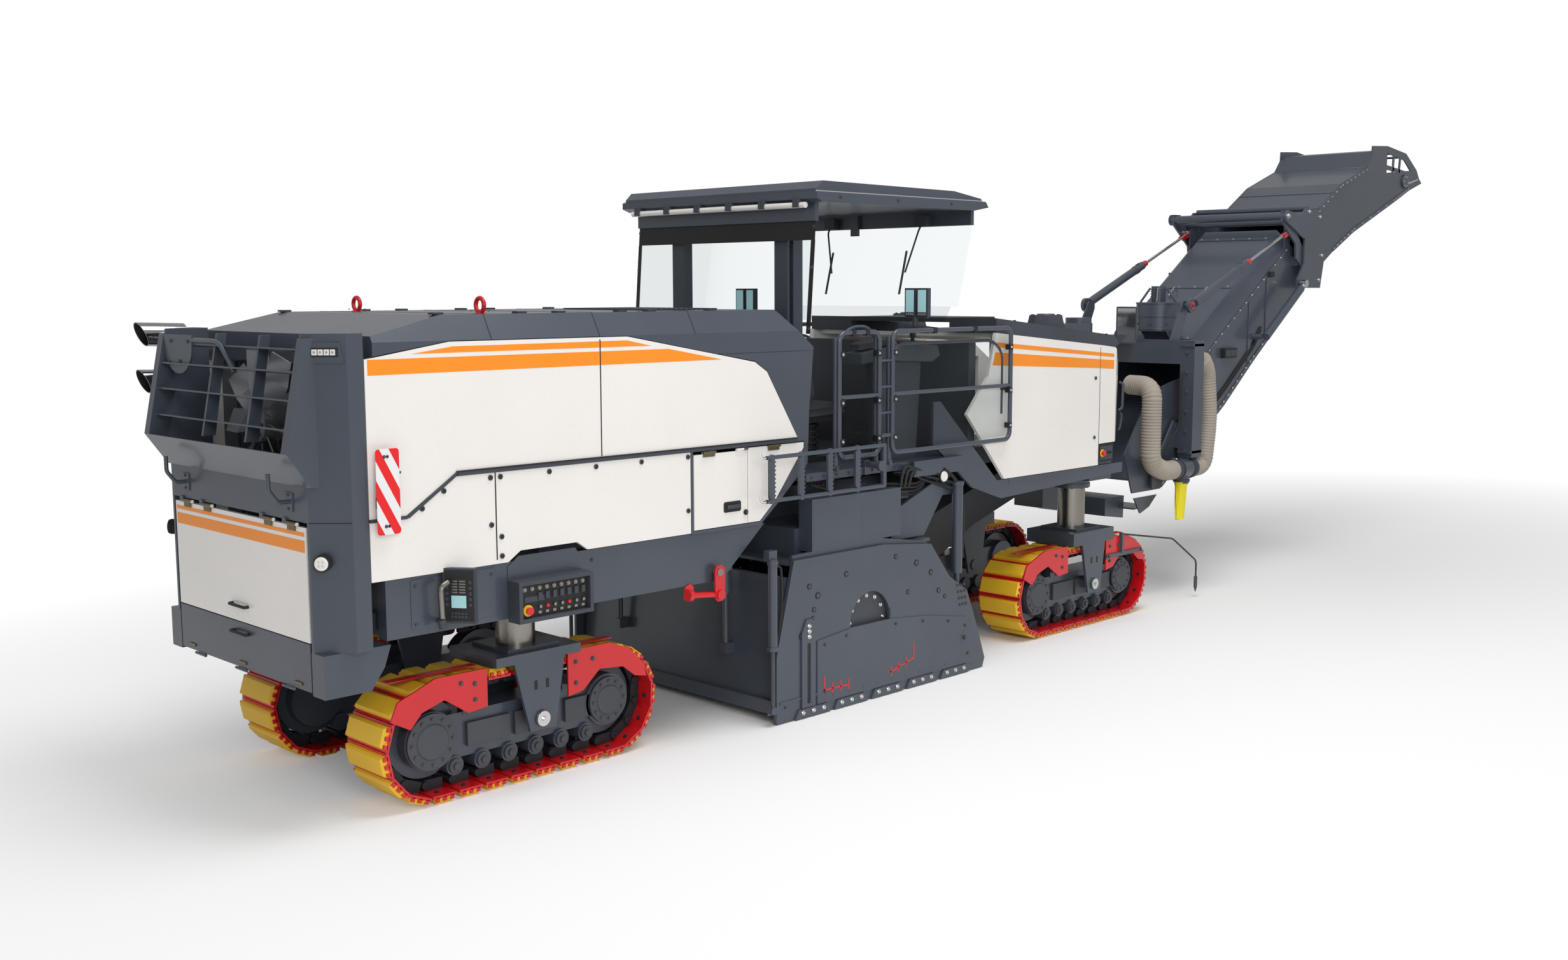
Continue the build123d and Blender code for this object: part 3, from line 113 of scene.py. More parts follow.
def finish(name, colour, roughness=0.4, metallic=0.0, grain=60.0, bump=0.05, spread=0.12, coat=0.0):
    """A material whose colour, gloss and surface vary gently."""
    material, tree, shader = new_material(
        name, {"Metallic": metallic, "Coat Weight": coat, "Coat Roughness": COAT_ROUGHNESS})
    place = add_node(tree, "TexCoord")
    broad = add_node(tree, "TexNoise", {"Scale": BROAD_NOISE, "Detail": 5})
    tint = add_node(tree, "ValToRGB")
    for stop, position, share in zip(tint.color_ramp.elements, (0.3, 0.7), (1 - spread, 1 + spread * 0.6)):
        stop.position = position
        stop.color = (*[min(1, c * share) for c in colour], 1)
    fine = add_node(tree, "TexNoise", {"Scale": grain, "Detail": 4})
    gloss = add_node(tree, "MapRange", {"To Min": roughness * 0.85, "To Max": min(1, roughness * 1.2)})
    relief = add_node(tree, "Bump", {"Strength": bump, "Distance": RELIEF})
    wire(tree, (place, "Object", broad, "Vector"), (broad, "Fac", tint, "Fac"),
        (tint, "Color", shader, "Base Color"), (place, "Object", fine, "Vector"),
        (fine, "Fac", gloss, "Value"), (gloss, "Result", shader, "Roughness"),
        (fine, "Fac", relief, "Height"), (relief, "Normal", shader, "Normal"))
    return material


slate_paint = finish("slate paint", (0.054, 0.066, 0.088), 0.36, coat=0.3)
# The near-black paint is also painted shade: on the primary conveyor it stands in for the deep shade under
# the frame and the beam.
dark_paint_and_shade = finish("dark paint and shade", (0.022, 0.025, 0.031), 0.45)
moulding = finish("dark moulding", (0.045, 0.052, 0.066), 0.55, grain=240, bump=0.15)
white_paint = finish("white paint", (0.84, 0.81, 0.77), 0.28, spread=0.03, coat=0.5)
orange_film = finish("orange film", (0.93, 0.28, 0.012), 0.3, spread=0.04)
red_paint = finish("red paint", (0.62, 0.006, 0.01), 0.33, coat=0.3)
yellow_pad = finish("yellow pad", (0.86, 0.52, 0.022), 0.45, grain=150, bump=0.2, spread=0.06)
hinge_brass = finish("hinge brass", (0.2, 0.16, 0.09), 0.35, metallic=0.9, grain=120)
screen_glow = finish("screen", (0.3, 0.52, 0.55), 0.15, spread=0.3, bump=0.0)
screen_glow.node_tree.nodes["Principled BSDF"].inputs["Emission Color"].default_value = (0.35, 0.62, 0.66,
    1)
screen_glow.node_tree.nodes["Principled BSDF"].inputs["Emission Strength"].default_value = 0.35
blade_metal = finish("blade metal", (0.26, 0.27, 0.29), 0.3, metallic=0.6, grain=120)
pipe_chrome = finish("pipe chrome", (0.42, 0.42, 0.43), 0.12, metallic=1.0, bump=0.01, spread=0.08)
chain_steel = finish("chain steel", (0.028, 0.031, 0.038), 0.5, metallic=0.4, grain=120, bump=0.3)
cast_steel = finish("cast steel", (0.075, 0.082, 0.095), 0.55, metallic=0.3, grain=90, bump=0.3)
chrome = finish("chrome", (0.78, 0.79, 0.81), 0.08, metallic=1.0, bump=0.01, spread=0.03)
bright_steel = finish("bright steel", (0.3, 0.28, 0.25), 0.28, metallic=1.0, grain=300, spread=0.1)
rod_steel = finish("rod steel", (0.62, 0.62, 0.62), 0.16, metallic=1.0, spread=0.05)
black_rubber = finish("black rubber", (0.012, 0.012, 0.013), 0.6, grain=180, bump=0.2)
seat_cloth = finish("seat cloth", (0.035, 0.037, 0.042), 0.85, grain=500, bump=0.4)
print(len(bpy.data.materials), "finishes")

# %% [markdown]
# ## Finishes with a pattern
#
# The warning board has diagonal red and white bands, and the panes are thin clear sheet. The
# bands are worked out from the point's own place on the machine, so they need no picture.


# %% Banded finish
def banded(name, first, second, direction, pitch):
    """Two colours in straight bands of equal width across a direction."""
    material = finish(name, first)
    tree = material.node_tree
    along = add_node(tree, "VectorMath", {1: Vector(direction).normalized() / pitch}, "DOT_PRODUCT")
    step = add_node(tree, "Math", operation="FRACT")
    over = add_node(tree, "Math", {1: 0.5}, "GREATER_THAN")
    mix = add_node(tree, "Mix")
    mix.data_type = "RGBA"
    mix.inputs["A"].default_value = (*first, 1)
    mix.inputs["B"].default_value = (*second, 1)
    wire(tree, (add_node(tree, "TexCoord"), "Object", along, 0), (along, "Value", step, 0),
        (step, "Value", over, 0), (over, "Value", mix, "Factor"),
        (mix, "Result", tree.nodes["Principled BSDF"], "Base Color"))
    return material


marker_film = banded("marker film", (0.8, 0.8, 0.8), (0.78, 0.006, 0.01), (1.9, 0, 1), 0.105)
print("bands ready")


# %% Clear sheet
def clear_sheet(name, tint):
    """Thin clear sheet: mostly open, with a reflection that grows at a glancing view."""
    material, tree, shader = new_material(name, {"Base Color": (0.02, 0.02, 0.02, 1), "Roughness": 0.03})
    open_part = add_node(tree, "BsdfTransparent", {"Color": (*tint, 1)})
    edge = add_node(tree, "Fresnel", {"IOR": 1.35})
    share = add_node(tree, "Math", {1: 0.15}, "MULTIPLY")
    mix = add_node(tree, "MixShader")
    wire(tree, (edge, "Fac", share, 0), (share, "Value", mix, "Fac"), (open_part, "BSDF", mix, 1),
        (shader, "BSDF", mix, 2), (mix, "Shader", tree.nodes["Material Output"], "Surface"))
    return material


pane = clear_sheet("clear pane", (0.96, 0.975, 0.975))
print("panes ready")

# %% [markdown]
# ## A finish for every solid
#
# Each solid from the model is one welded or moulded piece, so most get a single finish. The
# table is keyed by the node's name; what it doesn't list is slate, the colour of the chassis.

# %% Finish table
node_finish = {
    "side_panels": white_paint, "service_door_right": white_paint, "service_door_left": white_paint,
    "rear_door": white_paint, "front_hood": white_paint, "front_hood_cover": moulding,
    "fan": chain_steel, "fan_bay": slate_paint, "tail_pipes": chrome, "lifting_eyes": red_paint,
    "marker_boards": marker_film, "side_consoles": moulding, "operator_station": moulding,
    "displays": moulding, "canopy_glass": pane, "milling_drum": cast_steel,
    "stay_rods": rod_steel, "fold_stages": rod_steel, "fold_rods": rod_steel,
    # The primary conveyor's near-black paint is painted shade for the deep shade it sits in, under the
    # frame and the beam.
    "primary_conveyor": dark_paint_and_shade, "engine_block": cast_steel,
}
for name, node in nodes.items():
    if name.startswith("leg_"):
        chosen = bright_steel
    elif name.startswith("track_belt"):
        chosen = chain_steel
    else:
        chosen = node_finish.get(name, slate_paint)
    node.data.materials.clear()
    node.data.materials.append(chosen)
print("finished", len(nodes), "solids")

# %% [markdown]
# ## Tools for small pieces
#
# A bolt, a tube or a bent plate is too small for the solid model, but a bare surface without
# them looks like a toy. Blender has ready-made primitives, yet many small parts in one mesh are
# lighter and easier to place, so each helper below adds faces to a mesh that is being built.


# %% Loops and prisms
X_AXIS, Y_AXIS, Z_AXIS = Vector((1, 0, 0)), Vector((0, 1, 0)), Vector((0, 0, 1))
BEVEL_ANGLE = math.radians(32)


def prism(shape, first, second, slot=0):
    """Joins two loops of equally many points and closes both ends."""
    a = [shape.verts.new(p) for p in first]
    b = [shape.verts.new(p) for p in second]
    made = [shape.faces.new(a), shape.faces.new(list(reversed(b)))]
    for i in range(len(a)):
        j = (i + 1) % len(a)
        made.append(shape.faces.new((a[j], a[i], b[i], b[j])))
    for face in made:
        face.material_index = slot


def block(shape, low, high, slot=0):
    """A box between two corners, whose y values may come in either order."""
    (x0, y0, z0), (x1, y1, z1) = low, high
    y0, y1 = sorted((y0, y1))
    ring = ((x0, y0), (x1, y0), (x1, y1), (x0, y1))
    prism(shape, [(x, y, z0) for x, y in ring], [(x, y, z1) for x, y in ring], slot)


def in_plane(y, *points):
    """Points of one upright plane, from their (x, z)."""
    return [(x, y, z) for x, z in points]


def rect(x0, x1, z0, z1):
    """The (x, z) outline of a rectangle."""
    return [(x0, z0), (x1, z0), (x1, z1), (x0, z1)]


def plate(shape, outline, y_one, y_two, slot=0):
    """An outline of (x, z) points with a thickness along y."""
    prism(shape, in_plane(y_one, *outline), in_plane(y_two, *outline), slot)


def across(direction):
    """Two unit vectors square to a direction and to each other."""
    axis = Vector(direction).normalized()
    one = axis.cross(Z_AXIS if abs(axis.z) < 0.9 else Y_AXIS).normalized()
    return one, axis.cross(one)


def ring_at(centre, one, two, radius, sides):
    """Points of a circle."""
    steps = [2 * math.pi * i / sides for i in range(sides)]
    return [Vector(centre) + radius * (math.cos(t) * one + math.sin(t) * two) for t in steps]


def rod(shape, start, end, radius, slot=0, sides=16, end_radius=None):
    """A round rod, or a cone where the end radius differs."""
    one, two = across(Vector(end) - Vector(start))
    last = radius if end_radius is None else end_radius
    prism(shape, ring_at(start, one, two, radius, sides), ring_at(end, one, two, last, sides), slot)


def stub(shape, x, z, y_one, y_two, *form):
    """A rod along y."""
    rod(shape, (x, y_one, z), (x, y_two, z), *form)


def bolt(shape, at, direction, radius=0.011, slot=0):
    """A hexagon head on a washer."""
    way = Vector(direction).normalized()
    foot = Vector(at)
    rod(shape, foot, foot + way * radius * 0.25, radius * 1.35, slot, 12)
    rod(shape, foot + way * radius * 0.25, foot + way * radius * 0.95, radius, slot, 6)


print("loops, plates, rods and bolts")


# %% Bent tube
def rounded(points, bend, steps=5):
    """The points of a line with its corners rounded off."""
    points = [Vector(p) for p in points]
    line = [points[0]]
    for before, corner, after in zip(points, points[1:], points[2:]):
        reach = min(bend, (corner - before).length * 0.45, (after - corner).length * 0.45)
        enter = corner + (before - corner).normalized() * reach
        leave = corner + (after - corner).normalized() * reach
        for i in range(steps + 1):
            t = i / steps
            line.append(enter * (1 - t) ** 2 + corner * 2 * t * (1 - t) + leave * t ** 2)
    return line + [points[-1]]


def tube(shape, points, radius, slot=0, bend=0.05, sides=10):
    """A tube along straight runs with rounded corners."""
    line = rounded(points, bend)
    one, _ = across(line[1] - line[0])
    loops = []
    for i, at in enumerate(line):
        way = (line[min(i + 1, len(line) - 1)] - line[max(i - 1, 0)]).normalized()
        one = (one - way * one.dot(way)).normalized()
        loops.append([shape.verts.new(p) for p in ring_at(at, one, way.cross(one), radius, sides)])
    made = [shape.faces.new(list(reversed(loops[0]))), shape.faces.new(loops[-1])]
    for a, b in zip(loops, loops[1:]):
        for i in range(sides):
            j = (i + 1) % sides
            made.append(shape.faces.new((a[i], a[j], b[j], b[i])))
    for face in made:
        face.material_index = slot


def hoop(shape, centre, one, two, reach, radius, steps, sides):
    """A closed ring of round bar."""
    ring = ring_at(centre, one, two, reach, steps)
    tube(shape, ring + ring[:1], radius, 0, 0.0, sides)


print("tubes")

# %% [markdown]
# ## Mounting a piece
#
# Every edge on a real machine is a little round and catches the light. A narrow bevel gives
# that, and it is wider on castings than on thin plate. The piece then rides on its body, so it
# goes along when the joint moves.


# %% Mounting
def mount(shape, name, body, materials, bevel=0.003, segments=2):
    """Turns the built faces into an object that rides on a body."""
    bmesh.ops.recalc_face_normals(shape, faces=shape.faces)
    for edge in shape.edges:
        edge.smooth = len(edge.link_faces) == 2 and edge.calc_face_angle(0) < BEVEL_ANGLE
    for face in shape.faces:
        face.smooth = True
    mesh = bpy.data.meshes.new(name)
    shape.to_mesh(mesh)
    shape.free()
    for material in materials:
        mesh.materials.append(material)
    thing = bpy.data.objects.new(name, mesh)
    bpy.context.collection.objects.link(thing)
    if bevel:
        edge_round = thing.modifiers.new("edge", "BEVEL")
        edge_round.width = bevel
        edge_round.segments = segments
        edge_round.limit_method = "ANGLE"
        edge_round.angle_limit = BEVEL_ANGLE
    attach(thing, body)
    print(name, "on", body, len(mesh.polygons), "faces")
    return thing


SIDES = ((-1, "right"), (1, "left"))

# %% [markdown]
# ## Tracks
#
# Each track is a chain with a steel shoe on every link, and a hard yellow pad bolted to the
# shoe so that the steel doesn't mark the road. The solid model has one loop with the shoes in
# its outline. Here every shoe is built in its own place on the same loop, from the same sizes.

# %% Track sizes
TRACK_Y = 0.7
TRACK_LENGTH, TRACK_HEIGHT = 2.15, 0.777
LEG_X = {"front": 0.05, "rear": -6.277}
TRACK_BACK = 0.06
END_RADIUS = TRACK_HEIGHT / 2
HALF_RUN = TRACK_LENGTH / 2 - END_RADIUS
SHOES = 27
PITCH = (4 * HALF_RUN + 2 * math.pi * END_RADIUS) / SHOES
print("shoe pitch", round(PITCH, 4))


# %% One shoe's place
def loop_frame(way, centre):
    """The point on a track's outside at a distance round it, with its forward and outward directions."""
    way %= SHOES * PITCH
    arc = math.pi * END_RADIUS
    if way < 2 * HALF_RUN:
        turn, x = 0.0, -HALF_RUN + way
    elif way < 2 * HALF_RUN + arc:
        turn, x = (way - 2 * HALF_RUN) / END_RADIUS, HALF_RUN
    elif way < 4 * HALF_RUN + arc:
        turn, x = math.pi, HALF_RUN - (way - 2 * HALF_RUN - arc)
    else:
        turn, x = math.pi + (way - 4 * HALF_RUN - arc) / END_RADIUS, -HALF_RUN
    out = Vector((math.sin(turn), 0, math.cos(turn)))
    on = Vector((math.cos(turn), 0, -math.sin(turn)))
    return centre + Vector((x, 0, 0)) + out * END_RADIUS, on, out


def slanted_block(shape, place, runs, depths, widths, slot, draft=0.0):
    """A block in a shoe's own directions; its outer face may be drawn in by a draft."""
    at, on, out = place
    side = Y_AXIS
    loops = []
    for depth, inward in ((depths[0], 0.0), (depths[1], draft)):
        r0, r1, w0, w1 = runs[0] + inward, runs[1] - inward, widths[0] + inward, widths[1] - inward
        loops.append([at + on * r + side * w - out * depth for r,
            w in ((r0, w0), (r1, w0), (r1, w1), (r0, w1))])
    prism(shape, loops[0], loops[1], slot)


print("shoe blocks")

# %% Shoes, pads and links
PAD, SHOE, LINK = 0, 1, 2
for end, leg_x in LEG_X.items():
    for side, hand in SIDES:
        centre = Vector((leg_x - TRACK_BACK, side * TRACK_Y, END_RADIUS))
        shape = bmesh.new()
        for i in range(SHOES):
            place = loop_frame((i + 0.415) * PITCH, centre)
            flat = abs(place[2].z) > 0.9999999
            top = 0.0 if flat else 0.0065
            slanted_block(shape, place, (-0.069, 0.069), (0.046, 0.024), (-0.214, 0.214), PAD, 0.002)
            slanted_block(shape, place, (-0.067, 0.067), (0.024, top), (-0.212, 0.212), PAD, 0.014)
            for notch in (-0.036, 0.036):
                slanted_block(shape, place, (notch - 0.011, notch + 0.011), (0.046, 0.03),
                    (-0.2185, 0.2185), PAD)
            slanted_block(shape, place, (-0.082, 0.086), (0.062, 0.042), (-0.2249, 0.2249), SHOE)
            for lug in (-0.052, 0.0, 0.052):
                for edge in (-1, 1):
                    low, high = sorted((edge * 0.208, edge * 0.2249))
                    slanted_block(shape, place, (lug - 0.013, lug + 0.013), (0.05, 0.02), (low, high), SHOE)
            for track in (-1, 1):
                low, high = sorted((track * 0.06, track * 0.092))
                slanted_block(shape, place, (-0.066, 0.066), (0.13, 0.06), (low, high), LINK)
            at, on, out = place
            middle = at + on * 0.06 - out * 0.097
            rod(shape, middle - Vector((0, 0.105, 0)), middle + Vector((0, 0.105, 0)), 0.027, LINK, 12)
            for edge in (-0.16, 0.16):
                bolt(shape, at + Vector((0, edge, 0)) + on * 0.02 - out * 0.062, -out, 0.012, LINK)
        shoes = mount(shape, f"track_shoes_{end}_{hand}", f"track_{end}_{hand}",
            [yellow_pad, red_paint, chain_steel], 0.0035)
        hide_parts(f"track_belt_{end}_{hand}")

# %% [markdown]
# ## Track carriers
#
# The roller frame carries a drive hub at the rear, an idler at the front and a row of rollers.
# Bolts show which discs are covers and which turn. The guards over the ends of each track are
# red; they are one solid with the carrier, so a second red skin stands just outside of it.

# %% Hubs, rollers and guards
HUB_Y = TRACK_Y + 0.15
REAR_GUARD = [(-1.012, 0.59), (-0.962, 0.702), (-0.7, 0.802), (-0.328, 0.802), (-0.328, 0.558),
    (-0.47, 0.543), (-0.64, 0.658), (-0.8, 0.608), (-0.88, 0.518)]
FRONT_GUARD = [(0.298, 0.802), (0.64, 0.802), (0.802, 0.742), (0.932, 0.621), (0.962, 0.518),
    (0.86, 0.538), (0.76, 0.618), (0.56, 0.638), (0.42, 0.518), (0.298, 0.498)]
STEEL, RED, BRIGHT, DARK = 0, 1, 2, 3
for end, leg_x in LEG_X.items():
    middle = leg_x - TRACK_BACK
    for side, hand in SIDES:
        shape = bmesh.new()
        out = Vector((0, side, 0))
        for hub_x, radius in ((middle - HALF_RUN, 0.185), (middle + HALF_RUN, 0.165)):
            face = Vector((hub_x, side * HUB_Y, END_RADIUS))
            rod(shape, face, face + out * 0.022, radius * 0.96, STEEL, 48)
            rod(shape, face + out * 0.022, face + out * 0.03, radius * 0.62, STEEL, 40, radius * 0.58)
            for i in range(12):
                turn = i * math.pi / 6
                at = face + out * 0.022 + Vector((math.cos(turn), 0, math.sin(turn))) * radius * 0.78
                bolt(shape, at, out, 0.01, STEEL)
        pin = Vector((leg_x + 0.01, side * (TRACK_Y + 0.274), 0.405))
        rod(shape, pin, pin + out * 0.01, 0.05, BRIGHT, 32)
        bolt(shape, pin + out * 0.01, out, 0.014, BRIGHT)
        cheek = side * (TRACK_Y + 0.262)
        for x in (leg_x - 0.033, leg_x + 0.057):
            block(shape, (x - 0.012, cheek, 0.6), (x + 0.012, cheek + side * 0.0015, 0.66), DARK)
        for i in range(6):
            at = Vector((middle + (i - 2.5) * 0.205, side * (TRACK_Y + 0.14), 0.194))
            rod(shape, at, at + out * 0.018, 0.048, STEEL, 24)
            rod(shape, at + out * 0.018, at + out * 0.032, 0.022, STEEL, 16)
        for x0, x1 in ((-0.42, -0.1), (-0.06, 0.3), (0.34, 0.6)):
            block(shape, (middle + x0, side * (TRACK_Y + 0.121), 0.3),
                (middle + x1, side * (TRACK_Y + 0.15), 0.45), STEEL)
        skin = side * (TRACK_Y + 0.2435)
        for outline in (REAR_GUARD, FRONT_GUARD):
            placed = [(middle + x, z) for x, z in outline]
            plate(shape, placed, side * (TRACK_Y + 0.229), skin, RED)
        for bolt_x, bolt_z in ((-0.42, 0.72), (-0.42, 0.62), (-0.52, 0.74), (0.36, 0.72), (0.36, 0.58),
                (0.5, 0.72)):
            bolt(shape, (middle + bolt_x, skin, bolt_z), out, 0.012, STEEL)
        for x0, x1 in ((-1.0, -0.4), (0.36, 0.95)):
            block(shape, (middle + x0 * 0.96, side * (TRACK_Y + 0.05), 0.792),
                (middle + x1 * 0.8, side * (TRACK_Y + 0.12), 0.8), RED)
        mount(shape, f"track_carrier_{end}_{hand}", f"track_{end}_{hand}",
            [cast_steel, red_paint, rod_steel, black_rubber], 0.003)

# %% [markdown]
# ## Steering pointer
#
# A thin bent rod reaches ahead of the right front track and ends in a hanging bob. The driver
# keeps the bob over a line on the ground.

# %% Pointer
shape = bmesh.new()
block(shape, (0.269, -0.966, 0.612), (0.887, -0.942, 0.648), 0)
block(shape, (0.515, -0.974, 0.64), (0.545, -0.938, 0.832), 0)
for x in (0.3, 0.86):
    bolt(shape, (x, -0.966, 0.63), (0, -1, 0), 0.01, 1)
tube(shape, in_plane(-0.956, (0.53, 0.82), (1.467, 0.665), (1.942, 0.381), (1.942, 0.21)), 0.009, 1, 0.05,
    10)
rod(shape, (1.942, -0.956, 0.054), (1.942, -0.956, 0.11), 0.002, 2, 16, 0.018)
rod(shape, (1.942, -0.956, 0.11), (1.942, -0.956, 0.217), 0.018, 2, 16)
pointer = mount(shape, "steering_pointer", "track_front_right", [slate_paint, dark_paint_and_shade, cast_steel],
    0.0015)

# %% [markdown]
# ## Stripes and other films
#
# Two orange stripes run along the white panels and end in points. On the machine they are cut
# film, a fraction of a millimetre thick. A decal picture would need an image, so each stripe is
# a thin sheet just proud of the paint, which also gives its edge a fine shadow.

# %% Stripes on the hood's sides
SIDE_Y = 1.068
FILM = 0.0012
THIN_STRIPE = [(-7.204, 2.774), (-6.929, 2.81), (-5.606, 2.813), (-5.404, 2.773)]
THICK_STRIPE = [(-7.494, 2.66), (-4.769, 2.662), (-5.251, 2.748), (-7.494, 2.749)]
DOOR_SEAM_X = -5.83
for side, hand in SIDES:
    shape = bmesh.new()
    for outline in (THIN_STRIPE, THICK_STRIPE):
        plate(shape, outline, side * SIDE_Y, side * (SIDE_Y + FILM), 0)
    plate(shape, rect(DOOR_SEAM_X - 0.004, DOOR_SEAM_X + 0.004, 2.075, 2.825), side * SIDE_Y,
        side * (SIDE_Y + FILM * 1.5), 1)
    plate(shape, rect(-6.658, -6.65, 1.5, 2.045), side * SIDE_Y, side * (SIDE_Y + FILM * 1.5), 1)
    stripes = mount(shape, f"hood_stripes_{hand}", "chassis", [orange_film, black_rubber], 0)

# %% [markdown]
# ## Clips, channel, hinges and handle
#
# Small round clips hold the side panels. A thin dark channel covers the seam between the upper
# and the lower panels, with two brass hinges below it, and the service door has its handle.

# %% Side hardware
CLIPS = ((-6.69, 2.01), (-6.618, 2.01), (-6.25, 2.01), (-5.88, 2.01), (-5.5, 2.01), (-5.09, 2.01),
    (-6.618, 1.64), (-6.69, 1.72), (-6.618, 1.52), (-5.09, 1.64), (-7.02, 1.96), (-7.17, 1.87))
for side, hand in SIDES:
    shape = bmesh.new()
    skin = side * SIDE_Y
    plate(shape, rect(-6.93, -4.03, 2.04, 2.072), skin, skin + side * 0.01, 0)
    plate(shape, rect(-6.93, -4.03, 2.062, 2.072), skin + side * 0.01, skin + side * 0.012, 1)
    for x in (-4.9, -4.27):
        rod(shape, (x - 0.06, skin + side * 0.012, 2.026), (x + 0.06, skin + side * 0.012, 2.026), 0.01, 2,
            16)
        block(shape, (x - 0.055, skin, 1.996), (x + 0.055, skin + side * 0.01, 2.024), 2)
    sloped = [(-7.28, 1.832), (-7.262, 1.822), (-6.918, 2.05), (-6.93, 2.066)]
    plate(shape, sloped, skin, skin + side * 0.01, 0)
    plate(shape, rect(-7.512, -7.272, 1.82, 1.84), skin, skin + side * 0.01, 0)
    for x, z in CLIPS:
        stub(shape, x, z, skin, skin + side * 0.007, 0.017, 0, 20)
        stub(shape, x, z, skin + side * 0.007, skin + side * 0.011, 0.009, 1, 14)
    hardware = mount(shape, f"side_hardware_{hand}", "chassis", [moulding, black_rubber, hinge_brass],
        0.002)
    shape = bmesh.new()
    dish = [(-4.75, 1.59), (-4.605, 1.59), (-4.595, 1.6), (-4.595, 1.655), (-4.605, 1.665), (-4.75, 1.665),
        (-4.76, 1.655), (-4.76, 1.6)]
    plate(shape, dish, skin, skin + side * 0.006, 0)
    plate(shape, rect(-4.735, -4.62, 1.615, 1.64), skin, skin + side * 0.02, 1)
    stub(shape, -4.55, 1.575, skin, skin + side * 0.012, 0.02, 0, 24)
    stub(shape, -4.55, 1.575, skin + side * 0.012, skin + side * 0.018, 0.01, 1, 16)
    handle = mount(shape, f"service_handle_{hand}", f"service_door_{hand}", [black_rubber, moulding], 0.003)

# %% [markdown]
# ## Rear end
#
# The fan blows out above a sloped sill, between moulded corner columns. Each column has a strip
# of four lamps near its top and a round work lamp low on its chamfer.

# %% Lamps in the corner columns
REAR_X, REAR_HALF = -7.795, 0.893
CHAMFER = SIDE_Y - REAR_HALF
for side, hand in SIDES:
    shape = bmesh.new()
    out = Vector((-1, side, 0)).normalized()
    along = Vector((1, side, 0)).normalized()
    mid = Vector((REAR_X + CHAMFER / 2, side * (REAR_HALF + SIDE_Y) / 2, 0))

    def on_chamfer(run, z, lift):
        """A point on the column's chamfered face."""
        return mid + along * run + Vector((0, 0, z)) + out * lift

    def chamfer_block(run0, run1, z0, z1, lift0, lift1, slot):
        """A block that stands on the chamfered face."""
        loops = [[on_chamfer(r, z, lift) for r, z in ((run0, z0), (run1, z0), (run1, z1),
            (run0, z1))] for lift in (lift0, lift1)]
        prism(shape, loops[0], loops[1], slot)

    rim = [(-0.112, 2.735), (0.112, 2.735), (0.088, 2.85), (-0.088, 2.85)]
    prism(shape, [on_chamfer(r, z, 0.0005) for r, z in rim],
        [on_chamfer(r * 0.97, z, 0.01) for r, z in rim], 3)
    chamfer_block(-0.08, 0.08, 2.77, 2.822, 0.01, 0.014, 0)
    for i in range(4):
        run = -0.066 + i * 0.034
        chamfer_block(run, run + 0.029, 2.78, 2.812, 0.014, 0.017, 1)
        chamfer_block(run + 0.007, run + 0.022, 2.788, 2.804, 0.017, 0.018, 2)
    chamfer_block(-0.122, 0.122, 1.829, 1.835, 0.0003, 0.002, 0)
    face = on_chamfer(-0.045, 1.61, 0.001)
    for ring_number in range(6):
        rod(shape, face + out * (0.006 + ring_number * 0.008), face + out * (0.01 + ring_number * 0.008),
            0.05, 0, 28)
    rod(shape, face, face + out * 0.052, 0.042, 0, 28)
    rod(shape, face + out * 0.052, face + out * 0.06, 0.047, 0, 32)
    rod(shape, face + out * 0.06, face + out * 0.066, 0.04, 1, 28, 0.032)
    for i in range(4):
        turn = math.pi / 4 + i * math.pi / 2
        bolt(shape, face + out * 0.066 + along * 0.016 * math.cos(turn) + Vector((0, 0,
            0.016 * math.sin(turn))), out, 0.006, 2)
    lamps = mount(shape, f"corner_lamps_{hand}", "chassis",
        [black_rubber, white_paint, chrome, slate_paint], 0.002)

# %% Door, flap and their handles
shape = bmesh.new()
for z, height in ((1.748, 0.024), (1.655, 0.07)):
    block(shape, (REAR_X - 0.0015, -0.835, z), (REAR_X, 0.835, z + height), 0)
for hinge_y in (-0.7, -0.42, 0.38, 0.66):
    stub(shape, -7.799, 1.812, hinge_y - 0.059, hinge_y + 0.059, 0.0125, 2, 16)
    block(shape, (REAR_X - 0.0135, hinge_y - 0.041, 1.775), (REAR_X - 0.0005, hinge_y + 0.041, 1.812), 2)
tube(shape, [(REAR_X, -0.1, 1.235), (REAR_X - 0.028, -0.1, 1.235), (REAR_X - 0.028, 0.1, 1.235),
    (REAR_X, 0.1, 1.235)], 0.01, 1, 0.02)
door_trim = mount(shape, "rear_door_trim", "rear_door", [orange_film, black_rubber, hinge_brass], 0.002)
shape = bmesh.new()
tube(shape, [(REAR_X, -0.1, 1.065), (REAR_X - 0.028, -0.1, 1.065), (REAR_X - 0.028, 0.1, 1.065),
    (REAR_X, 0.1, 1.065)], 0.01, 0, 0.02)
for y in (-0.7, 0.0, 0.7):
    block(shape, (REAR_X - 0.008, y - 0.045, 0.866), (REAR_X, y + 0.045, 0.884), 1)
flap_trim = mount(shape, "rear_flap_trim", "rear_flap", [black_rubber, hinge_brass], 0.002)

